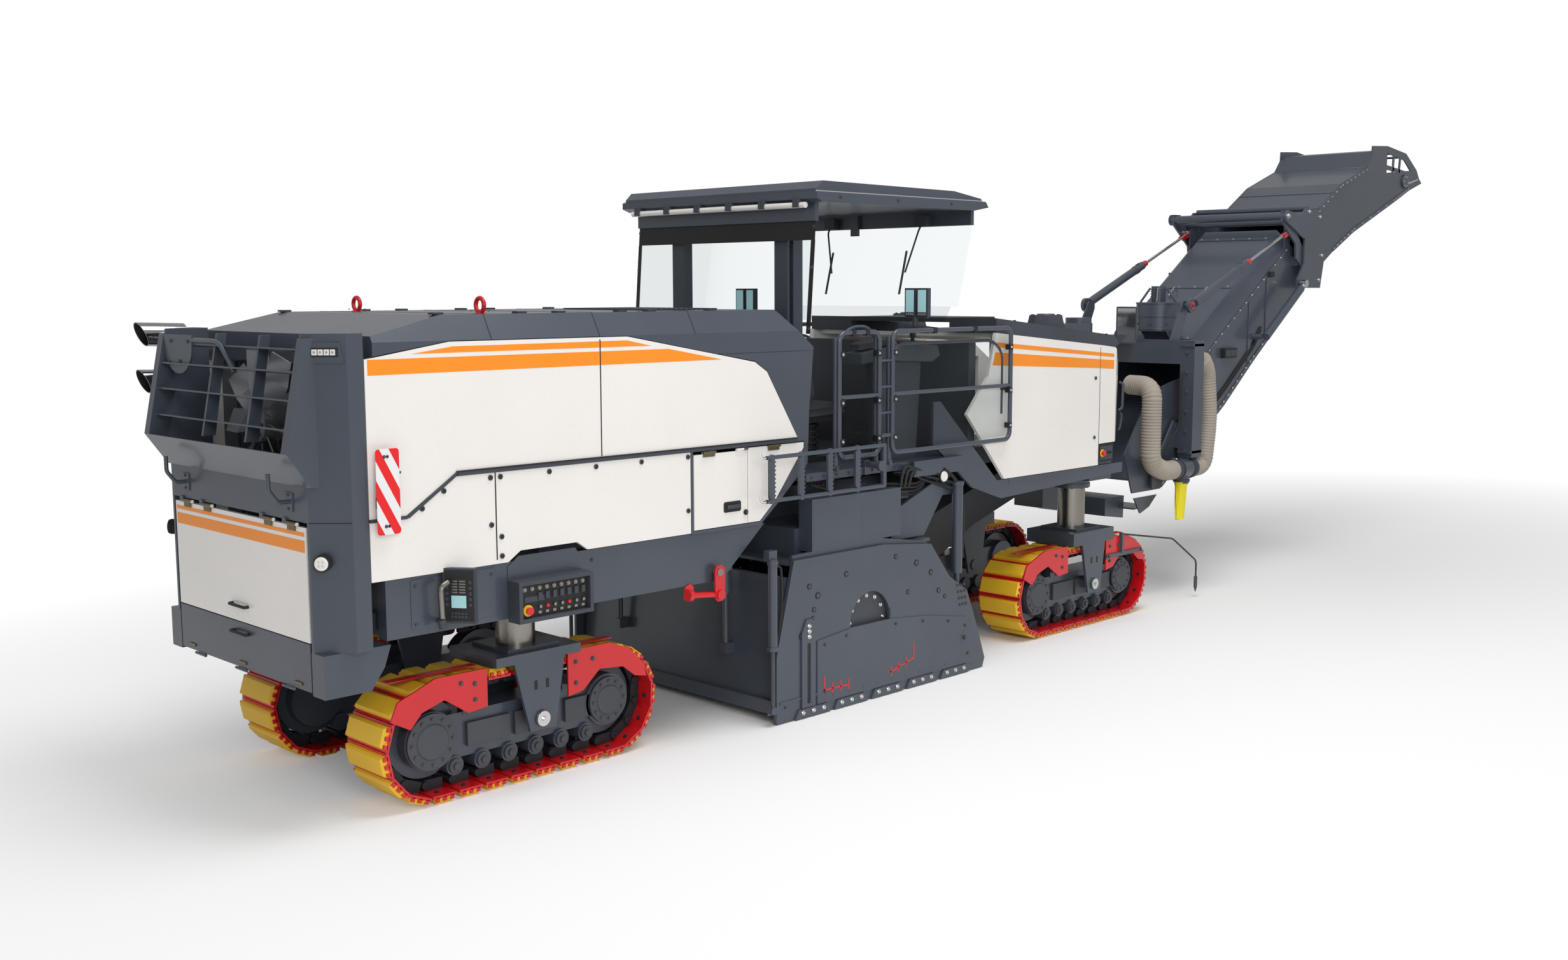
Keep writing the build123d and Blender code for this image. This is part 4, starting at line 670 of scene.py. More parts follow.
# %% Fan, cooler and slats
FAN_AT = Vector((-7.58, 0, 2.33))
shape = bmesh.new()
for i in range(9):
    turn = i * 2 * math.pi / 9
    loops = []
    for radius, chord, twist in ((0.11, 0.13, 0.75), (0.3, 0.17, 0.55), (0.475, 0.15, 0.4)):
        out = Vector((0, math.cos(turn), math.sin(turn)))
        tangent = Vector((0, -math.sin(turn), math.cos(turn)))
        lean = tangent * math.cos(twist) + X_AXIS * math.sin(twist)
        flat = lean.cross(out)
        loops.append([FAN_AT + out * radius + lean * chord * a + flat * b for a,
            b in ((-0.5, -0.004), (0.5, -0.004), (0.5, 0.004), (-0.5, 0.004))])
    for a, b in zip(loops, loops[1:]):
        prism(shape, a, b, 0)
rod(shape, FAN_AT - Vector((0.062, 0, 0)), FAN_AT + Vector((0.058, 0, 0)), 0.108, 0, 32)
for i in range(6):
    turn = i * math.pi / 3
    bolt(shape, FAN_AT + Vector((-0.062, 0.07 * math.cos(turn), 0.07 * math.sin(turn))), (-1, 0, 0), 0.01,
        1)
fan_blades = mount(shape, "fan_blades", "fan", [blade_metal, cast_steel], 0)
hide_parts("fan")
shape = bmesh.new()
for i in range(24):
    y = -0.82 + i * 0.0713
    rod(shape, (-7.365, y, 1.5), (-7.365, y, 2.68), 0.006, 0, 6)
for ring_radius in (0.5, 0.525):
    hoop(shape, (-7.372, 0, 2.33), Y_AXIS, Z_AXIS, ring_radius, 0.008, 40, 8)
for side, hand in SIDES:
    for x, z in ((-7.87, 2.36), (-7.845, 2.525), (-7.82, 2.685)):
        bolt(shape, (x, side * 0.8, z), (-1, 0, 0), 0.01, 0)
guard = mount(shape, "cooler_guard", "chassis", [moulding], 0)

# %% [markdown]
# ## Controls low on the side
#
# A ground man walks beside the machine, so a screen on a bent tube, a row of switches and an
# emergency stop are low on the beam, with a red handle that frees the side plate's link.

# %% Ground man's controls
for side, hand in SIDES:
    shape = bmesh.new()
    out = Vector((0, side, 0))
    # The screen is turned towards someone who walks behind the drum
    aside = Vector((-0.8, side * 0.6, 0))
    wide = Vector((0.6, side * 0.8, 0)) * -1
    hub = Vector((-6.965, side * 1.13, 1.331))

    def screen_block(run0, run1, z0, z1, lift0, lift1, slot):
        """A block in the turned screen's own directions."""
        loops = [[hub + wide * r + Vector((0, 0, z)) + aside * lift for r,
            z in ((run0, z0), (run1, z0), (run1, z1), (run0, z1))] for lift in (lift0, lift1)]
        prism(shape, loops[0], loops[1], slot)

    screen_block(-0.1, 0.1, -0.165, 0.168, -0.02, 0.02, 1)
    screen_block(-0.088, 0.088, -0.15, 0.155, 0.02, 0.026, 0)
    screen_block(-0.05, 0.05, -0.075, 0.11, 0.026, 0.028, 0)
    screen_block(-0.046, 0.046, -0.07, 0.005, 0.028, 0.0285, 5)
    for i in range(5):
        screen_block(-0.042, -0.004, 0.02 + i * 0.017, 0.028 + i * 0.017, 0.028, 0.0285, 4)
        screen_block(0.008, 0.042, 0.02 + i * 0.017, 0.028 + i * 0.017, 0.028, 0.0285, 4)
        for run in (-0.072, 0.072):
            screen_block(run - 0.009, run + 0.009, -0.06 + i * 0.034, -0.04 + i * 0.034, 0.026, 0.03, 1)
        for j in range(2):
            screen_block(-0.05 + i * 0.021, -0.036 + i * 0.021, -0.11 - j * 0.02, -0.096 - j * 0.02, 0.026,
                0.03, 1)
    tube(shape, [(-7.06, side * 1.04, 1.18), (-7.09, side * 1.13, 1.19), (-7.1, side * 1.13, 1.4),
        (-7.04, side * 1.12, 1.42)], 0.016, 4, 0.06)
    rod(shape, (-7.085, side * 1.122, 1.15), (-7.095, side * 1.125, 1.205), 0.024, 1, 20)
    block(shape, (-7.0, side * 1.037, 1.2), (-6.94, side * 1.11, 1.26), 1)
    # The switch console is a shell with a rim round a dark face
    rim = side * 1.16
    low_y, back_y = side * 1.12, side * 1.037
    block(shape, (-6.562, back_y, 1.093), (-5.986, low_y, 1.354), 1)
    for x0, x1, z0, z1 in ((-6.562, -5.986, 1.093, 1.118), (-6.562, -5.986, 1.329, 1.354),
            (-6.562, -6.535, 1.118, 1.329), (-6.013, -5.986, 1.118, 1.329)):
        block(shape, (x0, low_y, z0), (x1, rim, z1), 1)
    face = side * 1.128
    block(shape, (-6.535, low_y, 1.118), (-6.013, face, 1.329), 0)
    stub(shape, -6.48, 1.165, face, face + side * 0.01, 0.036, 3, 32)
    stub(shape, -6.48, 1.165, face + side * 0.01, face + side * 0.034, 0.021, 2, 28, 0.025)
    block(shape, (-6.5, face, 1.215), (-6.35, face + side * 0.002, 1.25), 1)
    for i in range(9):
        x = -6.5 + i * 0.056
        bolt(shape, (x, face, 1.298), out, 0.011, 4)
        if i > 1:
            block(shape, (x - 0.014, face, 1.225), (x + 0.014, face + side * 0.012, 1.27), 1)
            stub(shape, x, 1.18, face, face + side * 0.014, 0.011, 4 if i % 3 else 2, 16)
            block(shape, (x - 0.012, face, 1.135), (x + 0.012, face + side * 0.004, 1.152), 4)
    # The red lever that frees the side plate's link
    lever = [(-4.865, 1.195), (-4.85, 1.225), (-4.805, 1.232), (-4.775, 1.205), (-4.77, 1.16),
        (-4.775, 1.01), (-4.8, 0.975), (-4.84, 0.975), (-4.862, 1.005)]
    plate(shape, lever, side * 1.075, side * 1.092, 2)
    stub(shape, -4.82, 1.18, side * 1.037, side * 1.098, 0.028, 4, 24)
    stub(shape, -4.815, 1.02, side * 1.06, side * 1.105, 0.036, 2, 24)
    rod(shape, (-4.815, side * 1.07, 1.02), (-5.09, side * 1.07, 1.05), 0.021, 2, 20)
    rod(shape, (-5.105, side * 1.07, 1.052), (-5.07, side * 1.07, 1.048), 0.04, 2, 24)
    plate(shape, [(-5.115, 1.02), (-5.04, 1.02), (-5.03, 1.1), (-5.06, 1.125), (-5.105, 1.105)],
        side * 1.037, side * 1.05, 2)
    controls = mount(shape, f"ground_controls_{hand}", "chassis",
        [black_rubber, moulding, red_paint, yellow_pad, bright_steel, screen_glow], 0.002)
    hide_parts("side_consoles")

# %% Beam and board fittings
for side, hand in SIDES:
    shape = bmesh.new()
    out = Vector((0, side, 0))
    skin = side * 1.036
    cover = [(-7.235, 1.15), (-6.66, 1.15), (-6.65, 1.16), (-6.65, 1.44), (-6.66, 1.45), (-7.235, 1.45),
        (-7.245, 1.44), (-7.245, 1.16)]
    plate(shape, cover, skin, skin + side * 0.004, 0)
    for x, z in ((-7.215, 1.41), (-7.215, 1.18), (-6.68, 1.41), (-5.9, 1.2), (-5.9, 1.4)):
        bolt(shape, (x, skin + side * 0.004, z), out, 0.009, 1)
    shield = [(-6.56, 1.15), (-5.96, 1.15), (-5.96, 1.4), (-6.04, 1.5), (-6.48, 1.5), (-6.56, 1.44)]
    plate(shape, shield, skin, skin + side * 0.006, 0)
    board = side * 1.124
    for x, z in ((-7.44, 2.2), (-7.44, 1.8)):
        bolt(shape, (x, board, z), out, 0.008, 1)
    bracket = sorted((side * 1.069, side * 1.119))
    block(shape, (-7.405, bracket[0], 1.905), (-7.385, bracket[1], 2.1), 0)
    block(shape, (-7.405, bracket[0], 2.095), (-7.33, bracket[1], 2.11), 0)
    beam = mount(shape, f"beam_fittings_{hand}", "chassis", [slate_paint, cast_steel], 0.002)

# %% [markdown]
# ## Pipes, rings, hooks and board
#
# Some solids are plainer than the photograph shows. The tail pipes are cut off slantwise, the
# lifting eyes are rings, and the striped board has rounded corners. Each of these stands in for
# its plain solid, which is then hidden. The hooks, the half-round cover and its stay are extra.

# %% Slash-cut pipes, ring eyes, hooks and striped board
shape = bmesh.new()
PIPE_Y, PIPE_BORE = 1.15, 0.078
for pipe_z in (2.858, 2.553):
    ends = []
    for radius in (PIPE_BORE, PIPE_BORE - 0.005):
        ends.append([ring_at((-7.56, PIPE_Y, pipe_z - 0.01), Y_AXIS, Z_AXIS, radius, 40),
            [p + Vector((0.065 * (p.z - pipe_z) / radius * -0.5, 0, 0)) for p in ring_at((-7.838, PIPE_Y,
            pipe_z), Y_AXIS, Z_AXIS, radius, 40)]])
    rings = [[shape.verts.new(p) for p in loop] for loop in (ends[0][0], ends[0][1], ends[1][1],
        ends[1][0])]
    # The third layer is the pipe's inner wall, in black: painted shade, so that the bore shows dark.
    for layer, (a, b) in enumerate(zip(rings, rings[1:] + rings[:1])):
        for i in range(40):
            j = (i + 1) % 40
            shape.faces.new((a[i], a[j], b[j], b[i])).material_index = 1 if layer == 2 else 0
    stub(shape, -7.6, pipe_z - 0.01, 1.069, 1.1, 0.04, 0, 24)
pipes = mount(shape, "slash_pipes", "chassis", [pipe_chrome, black_rubber], 0)
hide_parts("tail_pipes")
shape = bmesh.new()
EYE_X, EYE_Y, ROOF = -6.512, 0.743, 2.9965
for side, hand in SIDES:
    hoop(shape, (EYE_X, side * EYE_Y, ROOF + 0.0495), Y_AXIS, Z_AXIS, 0.044, 0.014, 40, 12)
    rod(shape, (EYE_X, side * EYE_Y, ROOF), (EYE_X, side * EYE_Y, ROOF + 0.006), 0.04, 0, 32, 0.03)
eyes = mount(shape, "ring_eyes", "chassis", [red_paint], 0)
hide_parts("lifting_eyes")
shape = bmesh.new()
for side, hand in SIDES:
    corners = ((-7.477, 1.769, 180), (-7.362, 1.769, 270), (-7.362, 2.227, 0), (-7.477, 2.227, 90))
    board = [(x + 0.018 * math.cos(math.radians(turn + step)),
        z + 0.018 * math.sin(math.radians(turn + step))) for x, z,
        turn in corners for step in (0, 30, 60, 90)]
    plate(shape, board, side * 1.12, side * 1.124, 0)
    block(shape, (-7.47, side * 1.069, 1.9), (-7.42, side * 1.12, 1.96), 1)
    for z in (1.8, 2.2):
        bolt(shape, (-7.4195, side * 1.124, z), (0, side, 0), 0.007, 1)
boards = mount(shape, "striped_boards", "chassis", [marker_film, dark_paint_and_shade], 0.001)
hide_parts("marker_boards")
shape = bmesh.new()
for side, hand in SIDES:
    hook_y = side * 0.675
    block(shape, (-7.803, hook_y - 0.045, 1.881), (-7.785, hook_y + 0.045, 1.991), 0)
    tube(shape, in_plane(hook_y, (-7.785, 1.936), (-7.865, 1.936), (-7.92, 2.01), (-7.92, 2.106)), 0.013,
        0, 0.018, 12)
    for dz in (-0.04, 0.04):
        bolt(shape, (-7.803, hook_y, 1.936 + dz), (-1, 0, 0), 0.008, 1)
# A half-round cover and its bent stay hang at the top of the fan bay
half_round = [(0.47, 2.865), (0.47, 2.81)] + [(0.67 + 0.2 * math.cos(math.radians(a)),
    2.8 - 0.18 * math.sin(math.radians(a))) for a in range(170, 9, -16)] + [(0.87, 2.81), (0.87, 2.865)]
prism(shape, [(-7.812, y, z) for y, z in half_round], [(-7.8, y, z) for y, z in half_round], 0)
tube(shape, [(-7.8, 0.47, 2.835), (-7.81, 0.1, 2.835), (-7.812, -0.1, 2.66)], 0.014, 0, 0.08, 12)
for y, z in ((0.52, 2.825), (0.76, 2.825), (0.64, 2.7)):
    bolt(shape, (-7.812, y, z), (-1, 0, 0), 0.01, 1)
hooks = mount(shape, "rear_hooks", "chassis", [slate_paint, cast_steel], 0.002)

# %% [markdown]
# ## Operator's place
#
# The seats are soft and worn smooth, so their cushions are padded forms with a crown and
# pulled-in sides, on hard shells. The consoles and the front wall are moulded, and they are
# rebuilt here with rounded edges, since one solid carries them all.

# %% Consoles, seat shells and front wall
PLATFORM_Z = 1.79
SEAT_Y = 0.41
shape = bmesh.new()
for side, hand in SIDES:
    console = [(-3.2, 2.57), (-2.96, 2.59), (-2.35, 2.56), (-2.25, 2.61), (-2.28, 2.69), (-2.64, 2.715),
        (-3.2, 2.65)]
    plate(shape, console, side * 0.76, side * 0.96, 0)
    plate(shape, [(-2.9, PLATFORM_Z), (-2.5, PLATFORM_Z), (-2.44, 2.6), (-2.96, 2.6)], side * 0.78,
        side * 0.92, 0)
    seat_y = side * SEAT_Y
    block(shape, (-3.38, seat_y - 0.15, PLATFORM_Z), (-3.08, seat_y + 0.15, PLATFORM_Z + 0.04), 1)
    rod(shape, (-3.23, seat_y, 1.82), (-3.23, seat_y, 2.12), 0.07, 1, 24)
    for i in range(5):
        z = 1.88 + i * 0.045
        rod(shape, (-3.23, seat_y, z), (-3.23, seat_y, z + 0.022), 0.09, 1, 24)
    plate(shape, [(-3.44, 2.105), (-3.06, 2.115), (-3.04, 2.15), (-3.43, 2.15)], seat_y - 0.2,
        seat_y + 0.2, 1)
    plate(shape, [(-3.5, 2.23), (-3.47, 2.23), (-3.465, 2.7), (-3.5, 2.7)], seat_y - 0.19, seat_y + 0.19, 1)
    rod(shape, (-2.42, side * 0.81, 2.62), (-2.42, side * 0.81, 2.78), 0.016, 1, 12)
    rod(shape, (-2.42, side * 0.81, 2.76), (-2.41, side * 0.81, 2.83), 0.026, 1, 16, 0.02)
    for i in range(4):
        for j in range(3):
            knob = Vector((-2.64 - i * 0.055, side * (0.8 + j * 0.055), 2.712))
            rod(shape, knob, knob + Vector((0, 0, 0.016)), 0.014, 2 if (i + j) % 4 == 0 else 1, 12)
    rod(shape, (-2.31, side * 0.83, 2.66), (-2.29, side * 0.83, 2.715), 0.03, 3, 20)
    rod(shape, (-2.29, side * 0.83, 2.715), (-2.288, side * 0.83, 2.725), 0.022, 2, 20)
block(shape, (-1.87, -0.96, 1.77), (-1.78, 0.96, 2.7), 0)
block(shape, (-2.1, -0.3, PLATFORM_Z), (-1.87, 0.3, 1.9), 0)
for i in range(6):
    block(shape, (-2.095, -0.29 + i * 0.1, 1.9), (-1.88, -0.24 + i * 0.1, 1.905), 1)
station = mount(shape, "operator_furniture", "chassis", [moulding, black_rubber, red_paint, yellow_pad],
    0.008, 3)
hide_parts("operator_station")


# %% Cushions
def cushion(name, middle, size, tilt, crown):
    """A padded cushion: a rounded block whose faces bulge and whose corners stay behind."""
    mesh = bpy.data.meshes.new(name)
    shape = bmesh.new()
    bmesh.ops.create_cube(shape, size=2.0)
    bmesh.ops.subdivide_edges(shape, edges=shape.edges, cuts=9, use_grid_fill=True)
    for vert in shape.verts:
        x, y, z = vert.co
        full = max(0.0, 1 - x * x) * max(0.0, 1 - y * y)
        seam = 0.05 * math.exp(-((abs(y) - 0.62) / 0.05) ** 2)
        z_new = z * (1 - 0.35 * max(abs(x), abs(y)) ** 6) + (z / abs(z) if z else 0) * (crown * full - seam)
        pull = 1 - 0.045 * (1 - z * z)
        vert.co = (x * pull * size[0] / 2, y * pull * size[1] / 2, z_new * size[2] / 2)
    turn = Matrix.Translation(middle) @ Matrix.Rotation(tilt, 4, "Y")
    bmesh.ops.transform(shape, matrix=turn, verts=shape.verts)
    for face in shape.faces:
        face.smooth = True
    shape.to_mesh(mesh)
    shape.free()
    mesh.materials.append(seat_cloth)
    thing = bpy.data.objects.new(name, mesh)
    bpy.context.collection.objects.link(thing)
    smooth = thing.modifiers.new("soft", "SUBSURF")
    smooth.levels = smooth.render_levels = 1
    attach(thing, "chassis")


for side, hand in SIDES:
    cushion(f"seat_cushion_{hand}", (-3.225, side * SEAT_Y, 2.195), (0.43, 0.46, 0.1), -0.04, 0.35)
    cushion(f"seat_back_{hand}", (-3.425, side * SEAT_Y, 2.48), (0.1, 0.42, 0.52), -0.09, 0.1)
    cushion(f"armrest_{hand}", (-2.96, side * 0.845, 2.715), (0.42, 0.11, 0.07), -0.1, 0.25)
print("cushions")

# %% Displays
for side, hand in SIDES:
    shape = bmesh.new()
    for y in (0.86, 0.985):
        low, high = sorted((side * y, side * (y + 0.11)))
        block(shape, (-2.584, low + 0.006, 2.93), (-2.58, high - 0.006, 3.145), 0)
        block(shape, (-2.586, low + 0.014, 2.96), (-2.583, high - 0.014, 3.135), 1)
        for i in range(4):
            block(shape, (-2.588, low + 0.018 + i * 0.021, 2.936), (-2.583, low + 0.033 + i * 0.021, 2.95),
                2)
        for z in (2.98, 3.1):
            block(shape, (-2.545 + 0.005, low + 0.02, z), (-2.545 + 0.012, high - 0.02, z + 0.02), 0)
    rod(shape, (-2.56, side * 0.955, 2.845), (-2.56, side * 0.955, 2.925), 0.022, 0, 16)
    screens = mount(shape, f"display_faces_{hand}", "displays", [moulding, screen_glow, chrome], 0.002)

# %% [markdown]
# ## Guard rails
#
# Clear panels fill the rail frames, held by small black clips. A second rail runs inside as a
# handhold, and short bars close the gap between the two frames.

# %% Rail panels, clips and handholds
RAIL_Y = 1.12
RAIL_FRAMES = ((-3.63, -3.18, 1.89), (-3.027, -1.51, 1.885))
for side, hand in SIDES:
    y = side * RAIL_Y
    clear = bmesh.new()
    clips = bmesh.new()
    for left, right, low in RAIL_FRAMES:
        inset = 0.03
        outline = [(left + inset, low + inset + 0.02), (left + inset + 0.02, low + inset),
            (right - inset - 0.02, low + inset), (right - inset, low + inset + 0.02),
            (right - inset, 2.79 - inset), (right - inset - 0.02, 2.81 - inset),
            (left + inset + 0.02, 2.81 - inset), (left + inset, 2.79 - inset)]
        plate(clear, outline, y - 0.003, y + 0.003, 0)
        for z in (low + 0.12, 2.3, 2.66):
            for x in (left + 0.02, right - 0.02):
                block(clips, (x - 0.022, y - 0.024, z - 0.022), (x + 0.022, y + 0.024, z + 0.022), 0)
                bolt(clips, (x, y + side * 0.024, z), (0, side, 0), 0.008, 1)
        for x in (left + (right - left) * 0.33, left + (right - left) * 0.67):
            block(clips, (x - 0.02, y - 0.022, 2.795), (x + 0.02, y + 0.022, 2.842), 0)
    panels = mount(clear, f"rail_panels_{hand}", "chassis", [pane], 0)
    inner_y = side * 1.065
    tube(clips, in_plane(inner_y, (-3.6, 1.95), (-3.6, 2.74), (-3.45, 2.86), (-3.25, 2.86), (-3.14, 2.74),
        (-3.14, 1.95)), 0.014, 2, 0.08)
    tube(clips, in_plane(inner_y, (-2.99, 1.95), (-2.99, 2.62), (-2.88, 2.72), (-1.7, 2.72), (-1.56, 2.62),
        (-1.56, 2.1)), 0.014, 2, 0.08)
    tube(clips, [(-3.15, y, 2.03), (-3.05, y, 2.03)], 0.012, 2, 0.0)
    for z in (2.02, 2.2, 2.4, 2.6):
        tube(clips, [(-3.185, y, z), (-3.022, y, z)], 0.01, 2, 0.0)
    for x in (-3.6, -3.14, -2.99, -1.56):
        block(clips, (x - 0.018, inner_y, 2.3), (x + 0.018, y, 2.33), 0)
    clipped = mount(clips, f"rail_clips_{hand}", "chassis", [black_rubber, chrome, slate_paint], 0.002)

# %% [markdown]
# ## Ladder
#
# The ladder's treads are turned on edge while it is folded up. Each has a toothed rim for grip.

# %% Ladder treads
TREADS = (-4.43, -4.13, -3.83, -3.53)
for side, hand in SIDES:
    shape = bmesh.new()
    for x in TREADS:
        comb = [(x - 0.03, 1.675), (x - 0.03, 1.945)]
        for i in range(9):
            z = 1.945 - i * 0.03
            comb += [(x - 0.012, z), (x + 0.03, z - 0.007), (x + 0.03, z - 0.018), (x - 0.012, z - 0.024)]
        plate(shape, comb, side * 1.2275, side * 1.205, 0)
        for z in (1.655, 1.965):
            stub(shape, x, z, side * 1.203, side * 1.227, 0.022, 0, 16)
    for x, z in ((-4.485, 1.655), (-4.485, 1.965)):
        tube(shape, in_plane(side * 1.212, (x, z), (x - 0.045, z), (x - 0.06, z + 0.04)), 0.01, 1, 0.02)
    bolt(shape, (-3.26, side * 1.2265, 1.81), (0, -side, 0), 0.012, 1)
    treads = mount(shape, f"ladder_treads_{hand}", f"ladder_{hand}", [slate_paint, chrome], 0.0015)

# %% [markdown]
# ## Canopy and glazing
#
# The roof is two moulded shells, with a light tube and clips under the rear edge. The rear
# glass has a dark printed band along its top and sides, and the windscreen has two wipers.

# %% Canopy fittings
shape = bmesh.new()
tube(shape, [(-3.842, -0.98, 3.752), (-3.842, 0.98, 3.752)], 0.022, 1, 0.0, 16)
for i in range(6):
    y = -0.9 + i * 0.36
    block(shape, (-3.872, y - 0.03, 3.735), (-3.8, y + 0.03, 3.8), 0)
    block(shape, (-3.8, y - 0.014, 3.77), (-3.74, y + 0.014, 3.79), 0)
for side, hand in SIDES:
    tube(shape, [(-3.84, side * 1.085, 3.846), (-1.9, side * 1.085, 3.846)], 0.01, 2, 0.0, 8)
    for x in (-3.6, -2.95, -2.3):
        bolt(shape, (x, side * 1.103, 3.815), (0, side, 0), 0.01, 0)
    arm_y = side * 0.52
    tube(shape, [(-1.945, arm_y, 3.7), (-2.0, arm_y, 3.64), (-2.06, arm_y - side * 0.1, 3.28)], 0.008, 0,
        0.03, 8)
    blade = [Vector((-2.04, arm_y - side * 0.1, 3.46)), Vector((-2.135, arm_y - side * 0.1, 3.1))]
    rod(shape, blade[0], blade[1], 0.01, 0, 6)
    block(shape, (-1.985, arm_y - 0.06, 3.665), (-1.925, arm_y + 0.06, 3.755), 0)
for z in (2.85, 3.3, 3.6):
    for y in (-0.985, 0.985):
        slope_x = -3.814 + (z - 2.815) * 0.0776
        bolt(shape, (slope_x - 0.004, y, z), (-1, 0, 0), 0.012, 0)
fittings = mount(shape, "canopy_fittings", "canopy", [moulding, white_paint, chrome], 0.002)
shape = bmesh.new()
for y0, y1, z0, z1 in ((-1.0, 1.0, 3.5, 3.642), (-1.003, -0.96, 2.815, 3.5), (0.96, 1.003, 2.815, 3.5)):
    loop = []
    for z in (z0, z1):
        loop.append(-3.8185 + (z - 2.815) * 0.0776)
    prism(shape, [(loop[0], y0, z0), (loop[0], y1, z0), (loop[1], y1, z1), (loop[1], y0, z1)],
        [(loop[0] - 0.0012, y0, z0), (loop[0] - 0.0012, y1, z0), (loop[1] - 0.0012, y1, z1),
        (loop[1] - 0.0012, y0, z1)], 0)
band = mount(shape, "canopy_glass_band", "canopy", [black_rubber], 0)

# %% [markdown]
# ## Front hood
#
# The front hood repeats the stripes of the rear one. It carries the mirror, a grab handle, a
# small panel with an emergency stop, and two flat domes on its dark cover.

# %% Front hood dressing
for side, hand in SIDES:
    shape = bmesh.new()
    skin = side * SIDE_Y
    film = side * FILM
    plate(shape, [(-1.64, 2.66), (-1.63, 2.7), (-0.14, 2.576), (0.15, 2.551), (0.15, 2.52),
        (-0.14, 2.543)], skin, skin + film, 0)
    plate(shape, [(-1.69, 2.51), (-1.655, 2.618), (-0.14, 2.512), (0.15, 2.492), (0.15, 2.412),
        (-0.14, 2.43)], skin, skin + film, 0)
    plate(shape, rect(-0.079, -0.073, 1.735, 2.615), skin, skin + film * 1.5, 1)
    for z in (1.8, 2.34):
        stub(shape, -0.15, z, skin, skin + side * 0.008, 0.016, 1, 20)
    hood = mount(shape, f"front_hood_dressing_{hand}", "chassis", [orange_film, moulding], 0.0015)

# %% Cheek, step panel and emergency stops
for side, hand in SIDES:
    shape = bmesh.new()
    skin = side * SIDE_Y
    out = Vector((0, side, 0))
    x0, z0 = -0.07, 1.565
    block(shape, (x0, side * 1.03, z0), (0.17, skin, 1.728), 0)
    block(shape, (x0 + 0.02, skin, z0 + 0.02), (0.15, skin + side * 0.004, 1.708), 1)
    stub(shape, -0.02, 1.646, skin + side * 0.004, skin + side * 0.012, 0.034, 3, 28)
    stub(shape, -0.02, 1.646, skin + side * 0.012, skin + side * 0.036, 0.022, 2, 24, 0.026)
    for i in range(3):
        stub(shape, 0.05 + i * 0.035, 1.646, skin + side * 0.004, skin + side * 0.016, 0.011, 0, 16)
    panel = mount(shape, f"hood_switches_{hand}", "chassis",
        [black_rubber, moulding, red_paint, yellow_pad], 0.002)

# %% Handle and mirror glass
shape = bmesh.new()
for side, hand in SIDES:
    reach = side * 0.985
    tube(shape, in_plane(reach, (0.372, 1.83), (0.4, 1.84), (0.432, 1.96), (0.412, 1.985)), 0.011, 1, 0.02)
    tube(shape, [(0.33, side * 1.015, 2.02), (0.365, side * 1.03, 2.04), (0.395, side * 1.015, 2.26),
        (0.365, side * 0.995, 2.28)], 0.012, 1, 0.03)
mirror_back = [(-1.226, 2.665), (-1.206, 2.64), (-1.03, 2.64), (-1.01, 2.665), (-1.01, 2.955),
    (-1.03, 2.98), (-1.206, 2.98), (-1.226, 2.955)]
prism(shape, [(0.262, y, z) for y, z in mirror_back], [(0.288, -1.118 + (y + 1.118) * 0.86,
    2.81 + (z - 2.81) * 0.92) for y, z in mirror_back], 1)
tube(shape, [(0.262, -1.0, 2.48), (0.262, -1.0, 2.75), (0.29, -1.06, 2.79), (0.296, -1.11, 2.79)], 0.012,
    1, 0.05)
rod(shape, (0.262, -1.0, 2.47), (0.262, -1.0, 2.5), 0.024, 1, 20)
block(shape, (0.2585, -1.214, 2.655), (0.2615, -1.022, 2.965), 0)
block(shape, (0.256, -1.2255, 2.642), (0.262, -1.214, 2.978), 1)
block(shape, (0.256, -1.022, 2.642), (0.262, -1.0105, 2.978), 1)
block(shape, (0.256, -1.214, 2.642), (0.262, -1.022, 2.655), 1)
block(shape, (0.256, -1.214, 2.965), (0.262, -1.022, 2.978), 1)
for side, hand in SIDES:
    for y in (0.6, 0.8, 1.0):
        bolt(shape, (-1.3, side * y, 2.868), (0.08, 0, 1), 0.012, 1)
    for i in range(8):
        turn = i * math.pi / 4 + math.pi / 8
        at = Vector((-0.56 + 0.125 * math.cos(turn), side * 0.8 + 0.125 * math.sin(turn), 2.9095))
        bolt(shape, at, (0, 0, 1), 0.009, 1)
    rod(shape, (-0.56, side * 0.8, 2.909), (-0.56, side * 0.8, 2.922), 0.085, 1, 32, 0.075)
dressing = mount(shape, "hood_handles", "chassis", [chrome, moulding], 0.001)

# %% [markdown]
# ## Drum housing and side plates
#
# The side plate slides in front of the housing wall and rides on wear skids. Bolts, a slotted
# upright, red marks and the hoses to the lift cylinders go on here.

